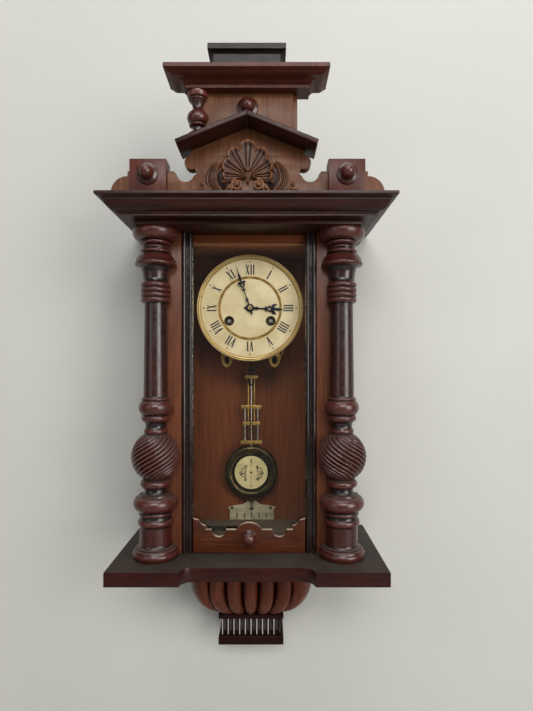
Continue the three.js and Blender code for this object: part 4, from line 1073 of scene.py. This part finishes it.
# %% Dial metal
bezel = Span("dial_bezel")
rim = [(72.5, 0.1), (79, 0.1), (79, 1.4, 0.8), (77, 2.6), (76.6, 1.0), (75.9, 1.0), (75.6, 3.6, 0.3),
       (73.2, 2.4), (72.5, 1.4), (72.5, 0.1)]
piece("spun_bezel", *turned(rim, 128, 0, bezel.y1, dial_z, 4), brass_lacquered, "case", ["dial_bezel"], 40)
ring = [(43.6, 0), (47.6, 0), (47.4, 0.7, 0.5), (46, 1.1), (45.4, 0.5), (44.8, 1.1, 0.5), (43.8, 0.5),
        (43.6, 0)]
piece("dial_centre_ring", *turned(ring, 96, 0, card_y - 0.02, dial_z), brass_plate, "case")
# each cup is a rim with a dark olive lining: painted shade that hides the bright plate behind, which the
# hole would leave in shadow
cup = [(3.4, -6.4), (6.3, -6.4), (6.3, 0.2), (6.9, 0.3, HALF), (6.9, 0.05), (7.3, 0.05, 0.8), (5.9, 0.9),
       (5.6, 0), (5.4, -5.2), (3.4, -5.4), (3.4, -6.4)]
arbors = [Span(f"{side}_arbor") for side in ("time", "strike")]
cups = [turned(cup, 40, at.x, card_y - 0.05, at.z) for at in arbors]
piece("winding_hole_shade_cups", *joined(*cups), brass_olive, "case")
print("dial printed with", len(HOURS), "numerals")

# %% [markdown]
# ## Hands
#
# The hands are sawn from thin steel and blued by heat. Each is one symmetrical outline: a hub, a
# leaf, a waisted stem, a pierced ring between curls, and a blade. Drawing half of it and mirroring
# it keeps both sides equal. They are drawn pointing up and then turned to the time that they show.

# %% Hands
hour_half = [(0, -9.5), (1.6, -7.6), (2.2, -6), (4.4, -4.4, 0.3), (5.9, 0, 0.3), (4.4, 4.2), (2.6, 5.6),
             (1.5, 7), (3.0, 9.6), (1.2, 12.6), (1.0, 18), (1.3, 22), (3.9, 22.6), (3.9, 24), (1.6, 24.6),
             (3.2, 26.6, 0.5), (3.6, 31.6), (5, 32.2), (7.6, 34, -0.4), (8.4, 38.2), (6.4, 39.6),
             (4.4, 37), (2.4, 35.6), (1.5, 37.6), (1.7, 40), (2.6, 42), (1.4, 45), (0, 51)]
minute_half = [(0, -11.2), (1.6, -8.6), (1.2, -6), (2.9, -3.2, 0.3), (4.2, 0, 0.3), (2.9, 3.2), (1.1, 6),
               (0.9, 8.4), (2.0, 12.6), (0.7, 17), (0.7, 26.4), (2.9, 27.2), (2.9, 28.6), (1.0, 29.2),
               (0.9, 31.4), (3.2, 33.4, 0.5), (3.2, 38), (5.2, 37.2, 0.5), (5.6, 40.6), (3.4, 41),
               (1.6, 40.4), (0.9, 43.4), (2.1, 48.6), (0.9, 53.4), (0, 69)]
MINUTE_TURN, HOUR_TURN = -18.6, 92.5
minute = Span("minute_hand")
hour = Span("hour_hand")
BLADE = 0.9
for name, node_name, body, half, holes, turn, front_y in (
        ("blued_hour_hand", "hour_hand", "hour_work", hour_half,
         [circle(0, 28.9, 2.1), circle(0, 0, 2.4)], HOUR_TURN, hour.y0 + 0.6),
        ("blued_minute_hand", "minute_hand", "minute_work", minute_half,
         [circle(0, 35.7, 2.0), circle(0, 0, 1.7)], MINUTE_TURN, minute.y0 + 1.9)):
    spin = Matrix.Rotation(math.radians(turn), 3, "Y")
    blade = plank([mirrored(half)] + holes, front_y, front_y + BLADE, ease=0.18, per_quarter=5)
    pipe_r = 3.2 if body == "hour_work" else 1.9
    bore = pipe_r - 0.4 if body == "minute_work" else 2.3
    pipe_end = -90 if body == "hour_work" else -86
    pipe = [(bore, 0), (pipe_r, 0), (pipe_r, pipe_end - front_y), (bore, pipe_end - front_y), (bore, 0)]
    tube = lathe([Vector((r, -h)) for r, h in pipe], 28, forward=True)
    piece(name, *shifted(joined(blade, shifted(tube, y=front_y)), 0, 0, dial_z, spin), steel_blued, body,
          [node_name])

collet = [(1.5, 0), (3.2, 0), (3.2, 0.9, 0.5), (2.2, 1.9), (1.5, 1.9), (1.5, 0)]
piece("brass_collet", *turned(collet, 32, 0, minute.y0 + 1.9, dial_z), brass_lacquered, "minute_work")
print("hands set to", round((HOUR_TURN % 360) / 30), "o'clock, less", round(-MINUTE_TURN / 6), "minutes")

# %% [markdown]
# ## Movement and its brackets
#
# Little of the movement shows: two brass eyes hang below the dial. Through the side windows its
# plates and wheels can be seen, so the fixed parts stay and get real finishes.

# %% Brackets
EYE_Z, EYE_HALF, EYE_TALL = 50, 9.1, 14.2
LIP_Y, EYE_FRONT, EYE_BACK = -73.2, -72.5, -68.5
ARM_HALF = 4.5
arm_top = Span("front_plate").z0 - 0.3
arm = [(-20.3, 44), (-20.3, arm_top), (-84, arm_top), (-84, 61), (-28, 61), (-24, 58), (-24, 44)]
for side, sign in (("left", -1), ("right", 1)):
    at = Span(f"movement_bracket_{side}")
    # the arms are dark iron as painted shade: each shows through its eye's hole, and the dark colour
    # stands in for the shadow there
    piece(f"arm_painted_shade_{side}", *plank([arm], at.x - ARM_HALF, at.x + ARM_HALF, "side", 0.7), iron_key,
          "case", [f"movement_bracket_{side}"])
    outline, hole = oval(at.x, EYE_Z, EYE_HALF, EYE_TALL, 48), oval(at.x, EYE_Z - 2.6, 3.8, 6.6, 32)
    # a bright wire lip runs round the right of each eye, and on the right one up to the plate
    turns = [math.radians(-100 + 8 * k) for k in range(12)]
    lip = [(at.x + (EYE_HALF - 1.6) * math.cos(t), LIP_Y, EYE_Z + (EYE_TALL - 1.6) * math.sin(t))
           for t in turns]
    if sign > 0:
        lip += [(at.x + x, LIP_Y, EYE_Z + z) for x, z in ((10.6, 6), (13.4, 10), (13.6, 18))]
    shape = joined(plank([outline, hole], EYE_FRONT, EYE_BACK, ease=1.2), swept(lip, 1.15, 10))
    piece(f"brass_eye_{side}", *shape, brass_plate, "case", (), 50)

# %% Fixed parts that stay
KEPT = {
    walnut_inside: ["back_board"],
    dial_card: ["dial_plate"],
    brass_plate: ["front_plate", "back_plate", "time_barrel", "strike_barrel", "centre_wheel",
                  "third_wheel", "escape_wheel", "minute_wheel", "pivot_pin_upper", "pivot_pin_lower"],
    steel_blued: ["gong_coil", "strike_hammer", "pallet_anchor"],
    steel_bright: ["time_arbor", "strike_arbor"],
    iron_key: ["hanger_plate"],
    glass: ["door_glass", "side_glass_left", "side_glass_right"],
}
for material, names in KEPT.items():
    for name in names:
        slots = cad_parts[name].data.materials
        slots.clear()
        slots.append(material)
print("kept parts:", sum(len(names) for names in KEPT.values()))

# %% [markdown]
# ## Pendulum
#
# The gridiron is for show: brass bars join brass and steel rods. Below hangs a spun bob with an
# enamel disc in its middle. Every rod is its own turned bar, so each can have its own metal.

# %% Gridiron
grid = Span("pendulum_frame")
PENDULUM_Y = grid.y
BARS = [(11.4, 21, 3.0), (16.3, -27, 1.2), (13.5, -53, 0), (17, -83, 0)]  # half width, height, point
bars = []
for half_width, z, point in BARS:
    outline = mirrored([(half_width - point, z - 2.7), (half_width, z + (0 if point > 2 else 2.7)),
                        (half_width - (point if point > 2 else 0), z + 2.7)])
    bars.append(plank([outline], PENDULUM_Y - 2, PENDULUM_Y + 2, ease=0.45))
blade = brick(-3, 3, PENDULUM_Y - 0.4, PENDULUM_Y + 0.4, 158, grid.z1, 0.1)
piece("pendulum_bars", *joined(*bars, blade), brass_plate, "pendulum", ["pendulum_frame"])


def upright_bar(x, radius, z0, z1):
    return shifted(lathe([(0.05, z0), (radius, z0), (radius, z1), (0.05, z1)], 16), x, PENDULUM_Y)


def rods(name, material, places):
    piece(name, *joined(*[upright_bar(*place) for place in places]), material, "pendulum")


first, second, third, fourth = [z for _, z, _ in BARS]
rods("brass_rods", brass_plate, [(side * 4.8, 1.3, third, first) for side in (-1, 1)])
rods("copper_rods", brass_olive, [(side * 4.8, 1.3, fourth, third) for side in (-1, 1)])
rods("steel_rods", steel_bright, [(side * 10.2, 1.4, fourth, second) for side in (-1, 1)]
     + [(0, 1.2, grid.z0, first)])
hook = [(-4.2, 18), (-4.2, 12), (-3, 9.4), (0, 8), (3, 9.4), (4.2, 12), (4.2, 18)]
links = [upright_bar(0, 1.2, first, 160), swept([(x, PENDULUM_Y - 2.6, z) for x, z in hook], 0.9, 10),
         brick(-7, 7, PENDULUM_Y - 2.8, PENDULUM_Y - 1.8, 24.4, 26, 0.3),
         brick(-6.5, 6.5, PENDULUM_Y - 2.4, PENDULUM_Y - 1.6, third + 3.4, third + 4.6, 0.3),
         turned([(0.01, 0), (1.2, 0), (1.2, 1, 0.4), (0.01, 1.5)], 16, 0, PENDULUM_Y - 2, third)]
piece("pendulum_links", *joined(*links), steel_blued, "pendulum")

# %% Bob
bob = Span("pendulum_bob")
BOB_R = bob.x1
spun = traced([(1.6, 6.9), (1.6, -5.2), (27.6, -5.2), (27.8, -3.6), (28.6, -3.0), (29.8, -3.6, -0.2),
               (34.2, -4.6), (35, -4.2), (35.2, -3.8, 0.25), (41.4, -1.6), (BOB_R, -0.6), (BOB_R, 0.6),
               (38, 3.4, 0.05), (28, 6, 0.03), (1.6, 6.9)])
spun = [Vector((p.x, -p.y)) for p in spun]
piece("spun_bob", *shifted(lathe(spun, 112, forward=True), 0, PENDULUM_Y, bob.z), brass_olive, "bob",
      ["pendulum_bob"], 40)
DISC_R = 26.2
disc = [(0.05, 5.2), (DISC_R, 5.2), (DISC_R, 5.7, 0.3), (DISC_R - 1, 6.1), (0.05, 6.3)]
piece("bob_enamel", *turned(disc, 80, 0, PENDULUM_Y, bob.z), bob_card, "bob")
# a black ring round the enamel disc is painted shadow: it stands in for the shade at the disc's edge
seat = [(26.4, 5), (28.4, 5), (28.4, 5.9, 0.6), (26.4, 5.9), (26.4, 5)]
piece("bob_disc_shadow_ring", *turned(seat, 80, 0, PENDULUM_Y, bob.z), steel_blued, "bob")


def scroll(x, z, size, side, turns=1.2):
    path = []
    for i in range(25):
        share = i / 24
        angle = math.radians(-60) + side * math.tau * turns * share
        path.append((x + side * size * (1 - 0.75 * share) * math.cos(angle), PENDULUM_Y - 6.35,
                     z + size * (1 - 0.75 * share) * math.sin(angle)))
    return swept(path, lambda share: 0.75 - 0.35 * share, 6, 0.5)


marks = [brick(-0.9, 0.9, PENDULUM_Y - 6.7, PENDULUM_Y - 6, bob.z + 15, bob.z + 21, 0.1),
         brick(-0.2, 0.2, PENDULUM_Y - 6.6, PENDULUM_Y - 6, bob.z - 22, bob.z + 14, 0.05),
         brick(-1.9, 1.9, PENDULUM_Y - 6.8, PENDULUM_Y - 6, bob.z - 1, bob.z + 1.2, 0.1),
         brick(-0.7, 0.7, PENDULUM_Y - 6.6, PENDULUM_Y - 6, bob.z - 23, bob.z - 20, 0.1)]
for side in (-1, 1):
    marks += [scroll(side * 12.5, bob.z + 3.5, 5.4, side), scroll(side * 12.5, bob.z - 4.6, 4.6, -side),
              scroll(side * 17, bob.z - 0.6, 2.6, side), scroll(side * 9, bob.z + 9.5, 2.2, -side),
              scroll(side * 9.5, bob.z - 10.5, 2.4, side)]
piece("bob_print", *joined(*marks), ink, "bob")
nut = Span("rating_nut")


def knurl(angle, height):
    return 1 - 0.06 * abs(math.sin(12 * angle))


profile = traced([(1.6, nut.z0), (4.1, nut.z0), (4.6, nut.z0 + 0.5), (4.6, nut.z1 - 0.5), (4.1, nut.z1),
                  (1.6, nut.z1), (1.6, nut.z0)])
piece("knurled_nut", *shifted(lathe(profile, 96, knurl), 0, PENDULUM_Y), brass_olive, "rating_nut",
      ["rating_nut"])
print("pendulum", round(grid.z1 - grid.z0), "mm long")

# %% [markdown]
# ## Beat scale and key
#
# A card scale on the back board shows how far the pendulum swings, with five plain strokes and a
# small screw at each side. The winding key lies on the case floor, dark with age.

# %% Beat scale
scale = Span("beat_scale")
half = [(36, scale.z0), (35.5, -198, -0.2), (scale.x1, -192.1), (31, -190), (22, -188.2, -0.25),
        (8, -182.8), (5, scale.z1)]
piece("beat_card", *plank([mirrored(half)], scale.y0, scale.y1, ease=0.2), scale_card, "case",
      ["beat_scale"])
ink_front, ink_back = scale.y0 - 0.15, scale.y0 + 0.1
marks = [brick(x - 1.0, x + 1.0, ink_front, ink_back, -209, -201.6 + 0.9 * (x == 0), 0.05)
         for x in (-24, -12, 0, 12, 24)]
marks.append(brick(-2.6, 2.6, ink_front, ink_back, -196.6, -191.8, 0.05))
piece("beat_strokes", *joined(*marks), ink, "case")
head = [(0.05, 0), (2.3, 0), (2.3, 0.3, 0.35), (0.05, 1.2)]
screws = [turned(head, 20, x, scale.y0, z) for x, z in ((-32, -193), (0, -185.6), (31, -193))]
piece("beat_screws", *joined(*screws), brass_olive, "case")

# %% Winding key
key = Span("winding_key")
pipe_z = key.z0 + 3.4
PIPE_LONG = 32
pipe = traced([(2.2, 0), (3.4, 0), (3.4, 2.5), (3.0, 3), (3.0, 29), (3.4, 29.4), (3.4, PIPE_LONG),
               (2.2, PIPE_LONG), (2.2, 0)])
along_x = Matrix.Rotation(math.radians(-90), 3, "Y")
barrel = shifted(lathe(pipe, 28), key.x0 + PIPE_LONG, key.y, pipe_z, along_x)
wing_x = key.x1 - 13
wing = [(wing_x + 13 * math.cos(math.tau * k / 40), key.y + 10.4 * math.sin(math.tau * k / 40) *
         (1 + 0.12 * math.cos(2 * math.tau * k / 40))) for k in range(40)]
bow = plank([wing, oval(wing_x + 2.2, key.y, 4.6, 4.6)], pipe_z - 1.5, pipe_z + 1.5, "level", 0.7)
piece("iron_key", *joined(barrel, bow), iron_key, "winding_key", ["winding_key"], 45)
